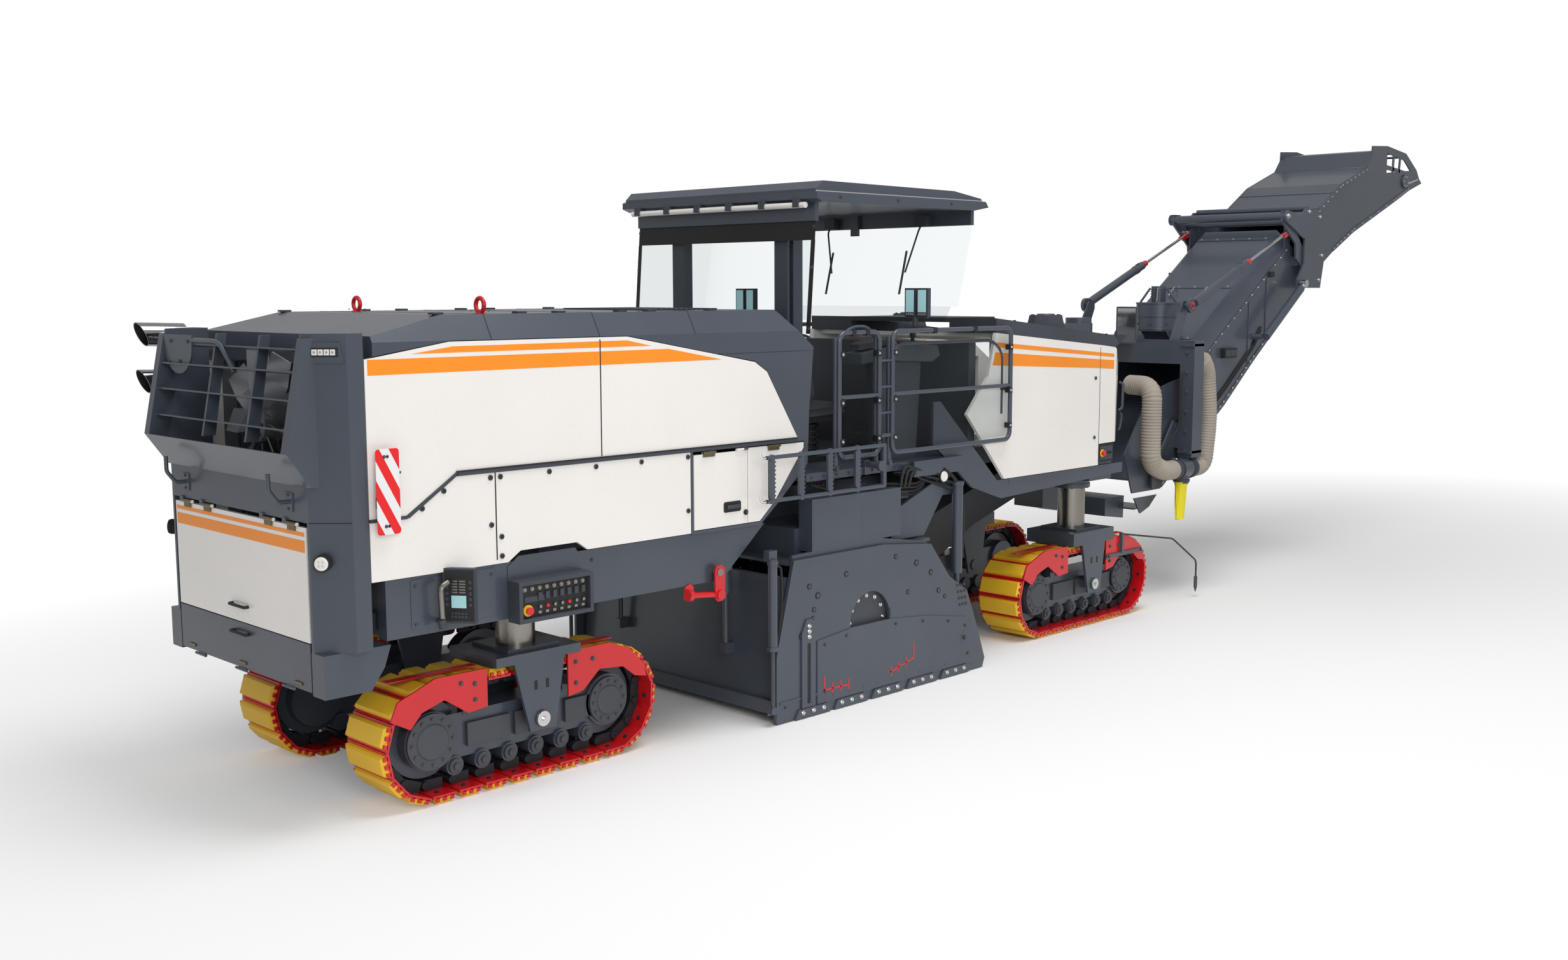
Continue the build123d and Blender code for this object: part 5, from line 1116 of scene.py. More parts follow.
# %% Side plate fittings
PLATE_Y = 1.188
DRUM_X, DRUM_Z = -3.345, 0.62
CYLINDER_X, FRONT_PIN_X = -4.395, -2.19
SKIDS = (-3.99, -3.57, -3.15, -2.73, -2.31)
for side, hand in SIDES:
    shape = bmesh.new()
    skin = side * PLATE_Y
    out = Vector((0, side, 0))
    for x in SKIDS:
        for shift in (-0.11, 0.0, 0.11):
            bolt(shape, (x + shift, skin + side * 0.016, 0.048), out, 0.013, 4)
    for z in (0.12, 0.69):
        bolt(shape, (-4.026, skin + side * 0.0148, z), out, 0.011, 1)
    edge = rect(-4.33, -2.06, 0.15, 0.166)
    plate(shape, edge, skin, skin + side * 0.006, 0)
    for i in range(14):
        bolt(shape, (-4.27 + i * 0.167, skin, 0.118), out, 0.009, 1)
    hoop(shape, (DRUM_X, skin, DRUM_Z), X_AXIS, Z_AXIS, 0.24, 0.008, 48, 8)
    # The lower half of the plate stands proud and closes the round opening up to the hub's middle
    proud = [(-3.94, 0.08), (-2.03, 0.08), (-2.08, 0.3), (-2.16, 0.47), (-2.7, 0.56), (-3.11, 0.6),
        (-3.56, 0.6), (-3.94, 0.56)]
    plate(shape, proud, skin - side * 0.012, skin + side * 0.008, 0)
    for x, z in ((-3.86, 0.52), (-3.62, 0.55), (-3.05, 0.55), (-2.72, 0.52), (-2.4, 0.47), (-2.18, 0.4),
            (-3.86, 0.16), (-2.14, 0.16)):
        bolt(shape, (x, skin + side * 0.008, z), out, 0.01, 1)
    for x, z, radius in ((-4.02, 0.98, 0.022), (-3.93, 0.9, 0.026), (-3.97, 0.8, 0.02),
            (-3.62, 1.02, 0.022), (-3.05, 1.08, 0.02), (-2.8, 1.0, 0.026), (-2.62, 0.9, 0.024),
            (-2.52, 0.74, 0.022), (-2.44, 0.68, 0.018), (-2.9, 0.78, 0.02), (-4.1, 0.62, 0.03),
            (-3.98, 0.74, 0.016)):
        stub(shape, x, z, skin, skin + side * 0.003, radius, 3, 20)
        stub(shape, x, z, skin + side * 0.003, skin + side * 0.004, radius * 0.62, 0, 16)
    for x in (-2.24, -2.2, -2.16):
        for i in range(4):
            bolt(shape, (x - i * 0.012, skin, 0.58 + i * 0.055), out, 0.009, 1)
    upright = [(-4.11, 0.08), (-3.975, 0.08), (-3.975, 0.66), (-4.0, 0.74), (-4.06, 0.74), (-4.11, 0.64)]
    plate(shape, upright, skin, skin + side * 0.014, 0)
    plate(shape, rect(-4.052, -4.018, 0.11, 0.56), skin + side * 0.014, skin + side * 0.0148, 3)
    for z in (0.61, 0.65, 0.69):
        bolt(shape, (-4.035, skin + side * 0.014, z), out, 0.013, 4)
    # Red marks low on the plate
    for start_x, start_z, rise, step in ((-3.87, 0.17, -0.03, 0.09), (-3.11, 0.17, 0.24, 0.09)):
        film = sorted((skin + side * 0.008, skin + side * 0.0095))
        for i in range(4):
            x = start_x + i * step
            z = start_z + i * step * rise + (0.1 if i == 3 and rise > 0 else 0) * 0.3
            tall = 0.105 if i == (0 if rise < 0 else 3) else 0.05
            block(shape, (x, film[0], z - 0.03), (x + 0.012, film[1], z + tall), 2)
        line = [(start_x, start_z), (start_x + 3 * step, start_z + 3 * step * rise),
            (start_x + 3 * step, start_z + 3 * step * rise + 0.012), (start_x, start_z + 0.012)]
        plate(shape, line, film[0], film[1], 2)
    stub(shape, FRONT_PIN_X, 0.3, side * 1.11, side * 1.1975, 0.05, 0, 24)
    bolt(shape, (FRONT_PIN_X, side * 1.1975, 0.3), out, 0.016, 1)
    fitted = mount(shape, f"side_plate_fittings_{hand}", f"side_plate_{hand}",
        [slate_paint, cast_steel, red_paint, black_rubber, rod_steel], 0.0015, 1)
    shape = bmesh.new()
    rod(shape, (CYLINDER_X, side * 1.185, 0.12), (CYLINDER_X, side * 1.185, 0.86), 0.016, 0, 24)
    stub(shape, CYLINDER_X, 0.12, side * 1.15, side * 1.205, 0.03, 1, 24)
    plate(shape, [(-4.44, 0.085), (-4.3, 0.085), (-4.32, 0.16), (-4.42, 0.16)], side * 1.165, side * 1.178,
        1)
    lift_rod = mount(shape, f"rear_lift_rod_{hand}", f"side_plate_{hand}", [cast_steel, slate_paint],
        0.0015, 1)

# %% Housing fittings and hoses
for side, hand in SIDES:
    shape = bmesh.new()
    y = side * 1.15
    for x0, x1, z0, z1 in ((-3.93, -3.45, 1.26, 1.58), (-3.4, -2.98, 1.27, 1.58)):
        block(shape, (x0, y, z0), (x1, y + side * 0.001, z1), 0)
    for i in range(3):
        tube(shape, [(-2.9 + i * 0.05, side * 1.1, 1.6), (-2.88 + i * 0.05, side * 1.12, 1.78 - i * 0.03),
            (-2.6, side * (1.08 - i * 0.02), 1.7 - i * 0.03), (-2.24, side * 1.1, 1.63 - i * 0.05),
            (-2.19, side * 1.11, 1.57)], 0.013, 1, 0.12)
    rod(shape, (FRONT_PIN_X, side * 1.11, 1.555), (FRONT_PIN_X, side * 1.11, 1.585), 0.052, 0, 24)
    rear_y = side * 1.185
    rod(shape, (CYLINDER_X, rear_y, 0.56), (CYLINDER_X, rear_y, 1.23), 0.034, 0, 24)
    for z in (0.56, 1.19):
        rod(shape, (CYLINDER_X, rear_y, z), (CYLINDER_X, rear_y, z + 0.03), 0.04, 0, 24)
    block(shape, (-4.43, side * 1.13, 1.215), (-4.35, rear_y, 1.29), 0)
    tube(shape, [(-4.36, rear_y, 1.18), (-4.31, rear_y, 1.16), (-4.3, rear_y, 0.9),
        (-4.33, side * 1.17, 0.62)], 0.01, 1, 0.06)
    rod(shape, (FRONT_PIN_X, side * 1.11, 0.828), (FRONT_PIN_X, side * 1.11, 0.856), 0.038, 0, 24)
    tube(shape, [(-2.36, side * 1.1, 1.7), (-2.24, side * 1.12, 1.62), (-2.13, side * 1.12, 1.4),
        (-2.12, side * 1.12, 1.1), (-2.15, side * 1.115, 0.9)], 0.014, 1, 0.1)
    housing = mount(shape, f"housing_fittings_{hand}", "chassis", [slate_paint, black_rubber], 0.002)

# %% Cutting bits
BIT_ROWS, BITS_PER_ROW = 36, 5
DRUM_HALF, DRUM_RADIUS, BIT_REACH = 1.09, 0.4, 0.083
shape = bmesh.new()
stub(shape, DRUM_X, DRUM_Z, -DRUM_HALF, DRUM_HALF, DRUM_RADIUS - 0.004, 0, 64)
stub(shape, DRUM_X, DRUM_Z, -1.144, 1.144, 0.234, 0, 48)
for side, hand in SIDES:
    for i in range(12):
        turn = i * math.pi / 6
        at = Vector((DRUM_X + 0.19 * math.cos(turn), side * 1.144, DRUM_Z + 0.19 * math.sin(turn)))
        bolt(shape, at, (0, side, 0), 0.012, 1)
for row in range(BIT_ROWS):
    bit_y = -DRUM_HALF + 0.05 + row * (2 * DRUM_HALF - 0.1) / (BIT_ROWS - 1)
    for place in range(BITS_PER_ROW):
        turn = place * 2 * math.pi / BITS_PER_ROW + abs(row - BIT_ROWS / 2) * 0.19
        out = Vector((math.sin(turn), 0, math.cos(turn)))
        on = Vector((math.cos(turn), 0, -math.sin(turn)))
        foot = Vector((DRUM_X, bit_y, DRUM_Z)) + out * (DRUM_RADIUS - 0.01)
        tip = foot + out * BIT_REACH * 0.86 + on * 0.035
        rod(shape, foot, foot + (tip - foot) * 0.45, 0.03, 0, 10, 0.024)
        rod(shape, foot + (tip - foot) * 0.45, foot + (tip - foot) * 0.85, 0.016, 1, 10, 0.012)
        rod(shape, foot + (tip - foot) * 0.85, tip, 0.01, 1, 8, 0.003)
bits = mount(shape, "drum_bits", "milling_drum", [cast_steel, rod_steel], 0)
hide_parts("milling_drum")

# %% [markdown]
# ## Roof seams, legs and platform
#
# The hood roof is several lids side by side, so thin dark seams divide it. A bolted gland closes
# the sleeve that each leg comes out of, and a round lamp hangs under the platform, with a bundle
# of hoses behind it.

# %% Roof, legs and platform
ROOF_Z, ROOF_HALF = 2.996, 0.985
shape = bmesh.new()
for x in (-6.655, -5.83, -5.01):
    block(shape, (x - 0.004, -ROOF_HALF, ROOF_Z), (x + 0.004, ROOF_HALF, ROOF_Z + 0.0015), 0)
    for side, hand in SIDES:
        edge = [(x - 0.004, side * ROOF_HALF, ROOF_Z + 0.0015),
            (x + 0.004, side * ROOF_HALF, ROOF_Z + 0.0015), (x + 0.004, side * 1.0695, 2.8452),
            (x - 0.004, side * 1.0695, 2.8452)]
        prism(shape, edge, [Vector(p) + Vector((0, -side * 0.003, -0.003)) for p in edge], 0)
for side, hand in SIDES:
    for x in (-6.95, -6.35, -6.05, -5.55, -5.3, -4.75):
        block(shape, (x - 0.035, side * 0.9, ROOF_Z), (x + 0.035, side * 0.96, ROOF_Z + 0.012), 1)
    for dx in (-0.038, 0.038):
        for dy in (-0.038, 0.038):
            bolt(shape, (EYE_X + dx, side * EYE_Y + dy, ROOF_Z + 0.012), (0, 0, 1), 0.006, 2)
for i in range(14):
    x = -4.93 + i * 0.048
    block(shape, (x, -0.5, ROOF_Z), (x + 0.022, 0.5, ROOF_Z + 0.01), 1)
roof = mount(shape, "roof_seams", "chassis", [black_rubber, moulding, cast_steel], 0.0015)
for end, high in (("rear", 1.115), ("front", 1.295)):
    leg_x = LEG_X[end]
    for side, hand in SIDES:
        shape = bmesh.new()
        y = side * TRACK_Y
        rod(shape, (leg_x, y, high + 0.008), (leg_x, y, high + 0.045), 0.172, 0, 48)
        for i in range(10):
            turn = i * math.pi / 5
            bolt(shape, (leg_x + 0.152 * math.cos(turn), y + 0.152 * math.sin(turn), high + 0.008),
                (0, 0, -1), 0.01, 1)
        gland = mount(shape, f"leg_gland_{end}_{hand}", "chassis", [slate_paint, cast_steel], 0.002)
shape = bmesh.new()
for side, hand in SIDES:
    lamp = Vector((-2.36, side * 1.06, 1.64))
    rod(shape, lamp, lamp + Vector((0, side * 0.045, 0)), 0.052, 1, 32)
    rod(shape, lamp + Vector((0, side * 0.045, 0)), lamp + Vector((0, side * 0.052, 0)), 0.044, 2, 32, 0.04)
    block(shape, (-2.375, side * 1.05, 1.62), (-2.345, side * 1.075, 1.668), 0)
    for i in range(4):
        tube(shape, [(-3.85 + i * 0.04, side * 1.03, 1.7),
            (-3.6, side * (1.05 - i * 0.012), 1.62 - i * 0.03),
            (-3.1, side * (1.06 - i * 0.012), 1.64 - i * 0.03), (-2.6, side * 1.04, 1.6 - i * 0.03),
            (-2.45, side * 1.02, 1.7)], 0.012, 1, 0.15)
    for i in range(12):
        bolt(shape, (-3.86 + i * 0.135, side * 1.06, 1.76), (0, side, 0), 0.009, 0)
platform_bits = mount(shape, "platform_fittings", "chassis", [cast_steel, black_rubber, white_paint], 0.002)

# %% [markdown]
# ## Rounded edges on the solids
#
# The solids from the model have sharp edges. A narrow bevel on the big ones catches the light
# as pressed and cast edges do. It changes no size, because a bevel only cuts corners off.

# %% Bevels
BEVELS = {
    "hood_roof": 0.01, "rear_corners": 0.008, "front_hood": 0.008, "front_hood_cover": 0.012,
    "canopy_frame": 0.012,
    "side_panels": 0.003, "rear_door": 0.005, "rear_flap": 0.005, "end_cheeks": 0.004, "platform": 0.004,
    "drum_housing": 0.004, "side_plate_right": 0.004, "side_plate_left": 0.004,
    "swivel_frame": 0.006, "frame": 0.006,
    "displays": 0.006, "side_consoles": 0.008, "service_door_right": 0.003, "service_door_left": 0.003,
}
for name, width in BEVELS.items():
    soft = nodes[name].modifiers.new("edge", "BEVEL")
    soft.width = width
    soft.segments = 2
    soft.limit_method = "ANGLE"
    soft.angle_limit = BEVEL_ANGLE
    soft.use_clamp_overlap = True
print("bevels on", len(BEVELS), "solids")

# %% [markdown]
# ## Suction hoses and dust bag
#
# A suction hose is a wire coil wrapped in pale fabric, so it shows a rib at every turn and
# creases where it bends. A plain bent tube gives the path; the radius then swells and shrinks
# along it. The bag is light cloth that hangs from the tee, so it is a loft of rings that sag
# and fold, not a box.

# %% Ribbed hoses
HOSE_Y, HOSE_Z, HOSE_RADIUS, HOSE_BEND = -0.78, 1.32, 0.099, 0.17
RIB_PITCH, RIB_SIDES = 0.03, 28
TEE_X = 1.905
EXTRACTOR_X, EXTRACTOR_Y = 2.41, -0.15
HOSE_PATHS = (
    ((1.4, -0.46, 2.185), (1.3, HOSE_Y, 2.185), (1.3, HOSE_Y, 1.42), (1.56, HOSE_Y, HOSE_Z),
     (1.76, HOSE_Y, HOSE_Z)),
    ((2.06, HOSE_Y, HOSE_Z), (2.32, HOSE_Y, HOSE_Z), (2.4, HOSE_Y, 1.8), (2.33, HOSE_Y, 2.3),
     (2.215, HOSE_Y, 2.43)),
)


def ribbed(shape, points, bend, radius, slot):
    """A hose whose radius rises and falls once for each turn of its coil."""
    line = rounded(points, bend, 14)
    lengths = [0.0]
    for a, b in zip(line, line[1:]):
        lengths.append(lengths[-1] + (b - a).length)
    count = int(lengths[-1] / RIB_PITCH) * 4
    one = None
    loops = []
    for i in range(count + 1):
        way = lengths[-1] * i / count
        j = max(k for k in range(len(line) - 1) if lengths[k] <= way + 1e-9)
        span = lengths[j + 1] - lengths[j]
        at = line[j].lerp(line[j + 1], (way - lengths[j]) / span if span else 0)
        ahead_of = (line[min(j + 2, len(line) - 1)] - line[max(j - 1, 0)]).normalized()
        one = across(ahead_of)[0] if one is None else (one - ahead_of * one.dot(ahead_of)).normalized()
        swell = radius * (1 - 0.055 * (i % 4 in (0, 3)) - 0.004 * math.sin(way * 31))
        loops.append([shape.verts.new(p) for p in ring_at(at, one, ahead_of.cross(one), swell, RIB_SIDES)])
    made = [shape.faces.new(list(reversed(loops[0]))), shape.faces.new(loops[-1])]
    for a, b in zip(loops, loops[1:]):
        for i in range(RIB_SIDES):
            k = (i + 1) % RIB_SIDES
            made.append(shape.faces.new((a[i], a[k], b[k], b[i])))
    for face in made:
        face.material_index = slot


hose_cloth = finish("hose cloth", (0.36, 0.32, 0.27), 0.75, grain=170, bump=0.35, spread=0.15)
bag_cloth = finish("bag cloth", (0.92, 0.8, 0.02), 0.8, grain=320, bump=0.5, spread=0.12)
shape = bmesh.new()
for points in HOSE_PATHS:
    ribbed(shape, points, HOSE_BEND, HOSE_RADIUS, 0)
hoses = mount(shape, "ribbed_hoses", "swivel_frame", [hose_cloth], 0)
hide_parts("suction_hoses")

# %% Clamps and tee
shape = bmesh.new()
for x in (1.735, 2.045):
    rod(shape, (x, HOSE_Y, HOSE_Z), (x + 0.035, HOSE_Y, HOSE_Z), 0.1075, 0, 36)
    block(shape, (x + 0.006, HOSE_Y - 0.03, 1.424), (x + 0.029, HOSE_Y + 0.03, 1.44), 1)
for x in (1.8, 2.01):
    rod(shape, (x, HOSE_Y, HOSE_Z), (x + 0.016, HOSE_Y, HOSE_Z), 0.112, 0, 36)
rod(shape, (TEE_X, HOSE_Y, 1.185), (TEE_X, HOSE_Y, 1.215), 0.084, 0, 32)
clamps = mount(shape, "hose_clamps", "swivel_frame", [moulding, chrome], 0.002)

# %% Dust bag
BAG_TOP, BAG_LOW = 1.195, 0.8
shape = bmesh.new()
loops = []
BAG_RINGS, BAG_SIDES = 26, 40
for i in range(BAG_RINGS + 1):
    t = i / BAG_RINGS
    z = BAG_TOP + (BAG_LOW - BAG_TOP) * t
    neck = min(1.0, t / 0.16)
    half_x = 0.077 + (0.073 - 0.077) * t + 0.012 * math.sin(math.pi * t)
    half_y = 0.077 * (1 - neck) + neck * (0.052 - 0.03 * t)
    ring = []
    for k in range(BAG_SIDES):
        turn = 2 * math.pi * k / BAG_SIDES
        fold = 1 + 0.1 * t * math.sin(5 * turn + 2.1 * t) + 0.035 * math.sin(9 * turn - 4 * t) * neck
        sag = 0.01 * t * t * math.sin(turn * 2 + 0.6)
        ring.append(shape.verts.new((TEE_X + half_x * math.cos(turn) * fold - 0.012 * t,
            HOSE_Y + half_y * math.sin(turn) * fold, z + sag)))
    loops.append(ring)
for a, b in zip(loops, loops[1:]):
    for k in range(BAG_SIDES):
        j = (k + 1) % BAG_SIDES
        shape.faces.new((a[k], a[j], b[j], b[k]))
shape.faces.new(loops[-1])
shape.faces.new(list(reversed(loops[0])))
bag = mount(shape, "cloth_bag", "swivel_frame", [bag_cloth], 0)
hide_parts("dust_bag")

# %% Dust extractor's fittings
shape = bmesh.new()
for z in (2.715, 2.85, 2.985):
    rod(shape, (EXTRACTOR_X, EXTRACTOR_Y, z), (EXTRACTOR_X, EXTRACTOR_Y, z + 0.014), 0.231, 0, 48)
for i in range(8):
    turn = i * math.pi / 4 + 0.2
    out = Vector((math.cos(turn), math.sin(turn), 0))
    bolt(shape, Vector((EXTRACTOR_X, EXTRACTOR_Y, 2.778)) + out * 0.225, out, 0.009, 1)
for turn in (0.9, 2.2, 3.6, 5.2):
    out = Vector((math.cos(turn), math.sin(turn), 0))
    foot = Vector((EXTRACTOR_X, EXTRACTOR_Y, 3.0)) + out * 0.185
    tube(shape, [foot, foot - out * 0.1 + Vector((0, 0, 0.15))], 0.012, 0, 0.0)
for i in range(5):
    z = 3.03 + i * 0.026
    rod(shape, (EXTRACTOR_X, EXTRACTOR_Y, z), (EXTRACTOR_X, EXTRACTOR_Y, z + 0.01), 0.083, 0, 32)
extractor = mount(shape, "extractor_fittings", "conveyor_lower", [slate_paint, cast_steel], 0.002)

# %% [markdown]
# ## Loading conveyor
#
# The conveyor's walls are folded sheet, so flanges and bolts run along every edge. Red shackles
# join the stays to the walls. The tip is open, with a guard over the belt's end.


# %% Points along a wall
def along_line(start, end, count, inset=0.04):
    """Evenly spaced (x, z) points between two others."""
    for i in range(count):
        t = inset + (1 - 2 * inset) * i / max(1, count - 1)
        yield start[0] + (end[0] - start[0]) * t, start[1] + (end[1] - start[1]) * t


def flange(shape, start, end, y, side, rise, depth, slot=0):
    """A flat strip that follows a wall's edge."""
    run = Vector((end[0] - start[0], 0, end[1] - start[1])).normalized()
    drop = Vector((run.z, 0, -run.x)) * rise
    a, b = Vector((start[0], y, start[1])), Vector((end[0], y, end[1]))
    loop = [a, b, b + drop, a + drop]
    prism(shape, loop, [p + Vector((0, side * depth, 0)) for p in loop], slot)


WALL_Y = 0.6
COVER_LOW, COVER_HIGH = (2.487, 2.392), (4.4, 3.65)
LOWER_EDGES = (((1.8, 1.105), (3.029, 1.881)), ((3.029, 1.881), (3.635, 2.332)),
    ((3.635, 2.332), (4.851, 3.17)))
HEAD_TOP = (((4.966, 3.98), (5.65, 4.371)), ((5.65, 4.371), (6.335, 4.603)))
HEAD_LOW = (((5.505, 3.574), (6.006, 3.804)), ((6.006, 3.804), (7.181, 4.225)),
    ((7.181, 4.225), (7.558, 4.368)))

# %% Lower section
shape = bmesh.new()
slope = Vector((COVER_HIGH[0] - COVER_LOW[0], 0, COVER_HIGH[1] - COVER_LOW[1])).normalized()
lift = Vector((-slope.z, 0, slope.x))
for side, hand in SIDES:
    y = side * WALL_Y
    out = Vector((0, side, 0))
    for start, end in LOWER_EDGES:
        flange(shape, (start[0] - 0.006, start[1] + 0.055), (end[0] - 0.006, end[1] + 0.055), y, side,
            0.05, 0.008)
        for x, z in along_line(start, end, 7):
            bolt(shape, (x - 0.02, y + side * 0.008, z + 0.036), out, 0.009, 1)
    flange(shape, (COVER_LOW[0] + 0.03, COVER_LOW[1] - 0.005), (COVER_HIGH[0], COVER_HIGH[1] - 0.012), y,
        side, 0.045, 0.006)
    for x, z in along_line(COVER_LOW, COVER_HIGH, 15):
        bolt(shape, (x + 0.012, y + side * 0.006, z - 0.03), out, 0.008, 1)
    for x, low, high in ((2.75, 1.76, 2.52), (3.55, 2.33, 3.05), (3.93, 2.6, 3.29)):
        loop = [(x - 0.03, low), (x + 0.03, low + 0.04), (x + 0.03, high), (x - 0.03, high - 0.04)]
        plate(shape, loop, y, y + side * 0.01, 0)
for i in range(3):
    t = 0.05 + i * 0.43
    foot = Vector((COVER_LOW[0], 0, COVER_LOW[1] + 0.15)).lerp(Vector((COVER_HIGH[0], 0,
        COVER_HIGH[1] + 0.15)), t)
    strap = [foot + Vector((0, -0.449, 0)), foot + Vector((0, 0.449, 0)),
        foot + Vector((0, 0.449, 0)) + slope * 0.045, foot + Vector((0, -0.449, 0)) + slope * 0.045]
    prism(shape, strap, [p + lift * 0.007 for p in strap], 0)
    for y in (-0.4, -0.2, 0.0, 0.2, 0.4):
        bolt(shape, foot + Vector((0, y, 0)) + slope * 0.022 + lift * 0.007, lift, 0.009, 1)
for y in (-0.2, 0.2):
    low_end = Vector((COVER_LOW[0], y, COVER_LOW[1] + 0.15)) + slope * 0.9 + lift * 0.004
    tube(shape, [low_end, low_end + lift * 0.05, low_end + lift * 0.05 + slope * 0.16,
        low_end + slope * 0.16], 0.008, 1, 0.02)
lower = mount(shape, "conveyor_lower_fittings", "conveyor_lower", [slate_paint, rod_steel], 0.0015)

# %% Side hoses, shackles and lamp on the lower section
shape = bmesh.new()
STAY_Y = 0.638
STAY_FOOT, STAY_HEAD = (2.237, 2.97), (4.35, 3.795)
foot_x, foot_z = STAY_FOOT
head_x, head_z = STAY_HEAD
for side, hand in SIDES:
    for i in range(2):
        y = side * 0.612
        z = 0.09 + i * 0.035
        tube(shape, in_plane(y, (2.3, 1.5 + z), (3.03, 1.96 + z), (3.64, 2.41 + z), (3.8, 2.6 + z)), 0.011,
            2, 0.1)
    for cheek in (-0.03, 0.022):
        y0 = side * (STAY_Y + cheek)
        plate(shape, [(head_x - 0.19, head_z - 0.1), (head_x + 0.03, head_z - 0.026),
            (head_x + 0.036, head_z + 0.026), (head_x - 0.176, head_z - 0.05)], y0, y0 + side * 0.008, 0)
    rod(shape, (head_x, side * (STAY_Y - 0.032), head_z), (head_x, side * (STAY_Y + 0.036), head_z), 0.017,
        1, 20)
    block(shape, (3.93, side * 0.601, 3.27), (4.02, side * 0.64, 3.33), 2)
    block(shape, (2.945, side * 0.601, 2.405), (3.205, side * 0.655, 2.51), 2)
    for i in range(4):
        x = 2.965 + i * 0.058
        block(shape, (x, side * 0.655, 2.425), (x + 0.048, side * 0.66, 2.49), 3)
shackles = mount(shape, "conveyor_shackles", "conveyor_lower",
    [red_paint, cast_steel, black_rubber, moulding], 0.002)
shape = bmesh.new()
for side, hand in SIDES:
    y = side * STAY_Y
    mid = Vector((3.214, y, 3.352))
    way = Vector((head_x - foot_x, 0, head_z - foot_z)).normalized()
    square = Vector((-way.z, 0, way.x))
    rod(shape, mid + way * 0.158, mid + way * 0.225, 0.034, 0, 28)
    rod(shape, mid - way * 0.02, mid + way * 0.02, 0.049, 2, 28)
    for edge in (-1, 1):
        rod(shape, mid + square * edge * 0.047 + way * 0.02, mid + square * edge * 0.047 + way * 0.09,
            0.01, 1, 10)
    stub(shape, foot_x, foot_z, y - 0.019, y + 0.019, 0.074, 2, 32)
    stub(shape, foot_x, foot_z, y + side * 0.019, y + side * 0.026, 0.04, 0, 28)
    bolt(shape, (foot_x, y + side * 0.019, foot_z), (0, side, 0), 0.02, 1)
stay_caps = mount(shape, "stay_caps", "stay_barrels", [red_paint, cast_steel, slate_paint], 0.002)

# %% Head section
shape = bmesh.new()
for side, hand in SIDES:
    y = side * WALL_Y
    out = Vector((0, side, 0))
    for start, end in HEAD_TOP:
        flange(shape, (start[0], start[1] - 0.002), (end[0], end[1] - 0.002), y, side, 0.048, 0.008)
        for x, z in along_line(start, end, 7):
            bolt(shape, (x + 0.008, y + side * 0.008, z - 0.026), out, 0.009, 1)
    for start, end in HEAD_LOW:
        flange(shape, (start[0] - 0.005, start[1] + 0.052), (end[0] - 0.005, end[1] + 0.052), y, side,
            0.048, 0.008)
        for x, z in along_line(start, end, 6):
            bolt(shape, (x - 0.012, y + side * 0.008, z + 0.03), out, 0.009, 1)
    x, z = 7.42, 4.48
    stub(shape, x, z, y, y + side * 0.022, 0.085, 0, 32)
    for i in range(6):
        turn = i * math.pi / 3
        bolt(shape, (x + 0.062 * math.cos(turn), y + side * 0.022, z + 0.062 * math.sin(turn)), out, 0.009,
            1)
    tube(shape, in_plane(y + side * 0.008, (7.5, 4.455), (7.8, 4.52)), 0.014, 1, 0.0)
    for x, z in ((4.11, 3.93), (4.64, 4.005), (4.91, 3.955), (4.99, 3.52), (4.94, 3.24), (4.47, 3.2)):
        bolt(shape, (x, side * 0.712, z), out, 0.016, 1)
    stub(shape, 4.103, 3.94, side * 0.712, side * 0.73, 0.062, 0, 32)
    bolt(shape, (4.103, side * 0.73, 3.94), out, 0.022, 1)
for i in range(2):
    t = 0.2 + i * 0.5
    a, b = HEAD_TOP[0]
    foot = Vector((a[0] + (b[0] - a[0]) * t, 0, a[1] + (b[1] - a[1]) * t - 0.001))
    way = Vector((b[0] - a[0], 0, b[1] - a[1])).normalized()
    strap = [foot + Vector((0, -0.59, 0)), foot + Vector((0, 0.59, 0)),
        foot + Vector((0, 0.59, 0)) + way * 0.04, foot + Vector((0, -0.59, 0)) + way * 0.04]
    prism(shape, strap, [p + Vector((0, 0, 0.007)) for p in strap], 0)
# The belt runs out over a roller, between walls that close the guard's sides
TIP, BELT_EDGE = Vector((7.735, 0, 4.49)), 0.584
rod(shape, TIP - Vector((0, BELT_EDGE, 0)), TIP + Vector((0, BELT_EDGE, 0)), 0.068, 2, 40)
belt_line = [(6.335, 4.4), (6.888, 4.49), (7.735, 4.548)]
outline = belt_line + [(x, z + 0.014) for x, z in reversed(belt_line)]
plate(shape, outline, -BELT_EDGE, BELT_EDGE, 2)
for i in range(12):
    t = i / 11
    x, z = (6.36 + t * 1.06, 4.418 + t * 0.148) if t < 0.5 else (6.36 + t * 1.36, 4.48 + (t - 0.5) * 0.15)
    block(shape, (x, -0.56, z), (x + 0.02, 0.56, z + 0.024), 2)
for side, hand in SIDES:
    inner, outer = sorted((side * (WALL_Y - 0.012), side * (WALL_Y + 0.001)))
    plate(shape, [(6.3, 4.555), (6.888, 4.48), (6.888, 4.838), (6.5, 4.79), (6.33, 4.6)], inner, outer, 0)
    for x0, z0, x1, z1 in ((7.07, 4.54, 7.09, 4.8), (7.25, 4.54, 7.28, 4.78)):
        plate(shape, [(x0 - 0.022, z0), (x0 + 0.022, z0), (x1 + 0.022, z1), (x1 - 0.022, z1)], inner,
            outer, 0)
    low_rail = [(6.888, 4.6), (7.56, 4.56), (7.56, 4.6), (6.888, 4.655)]
    plate(shape, low_rail, inner, outer, 0)
hood_line = [(6.33, 4.592), (6.5, 4.786), (6.9, 4.834)]
plate(shape, hood_line + [(x, z + 0.01) for x, z in reversed(hood_line)], -0.59, 0.59, 0)
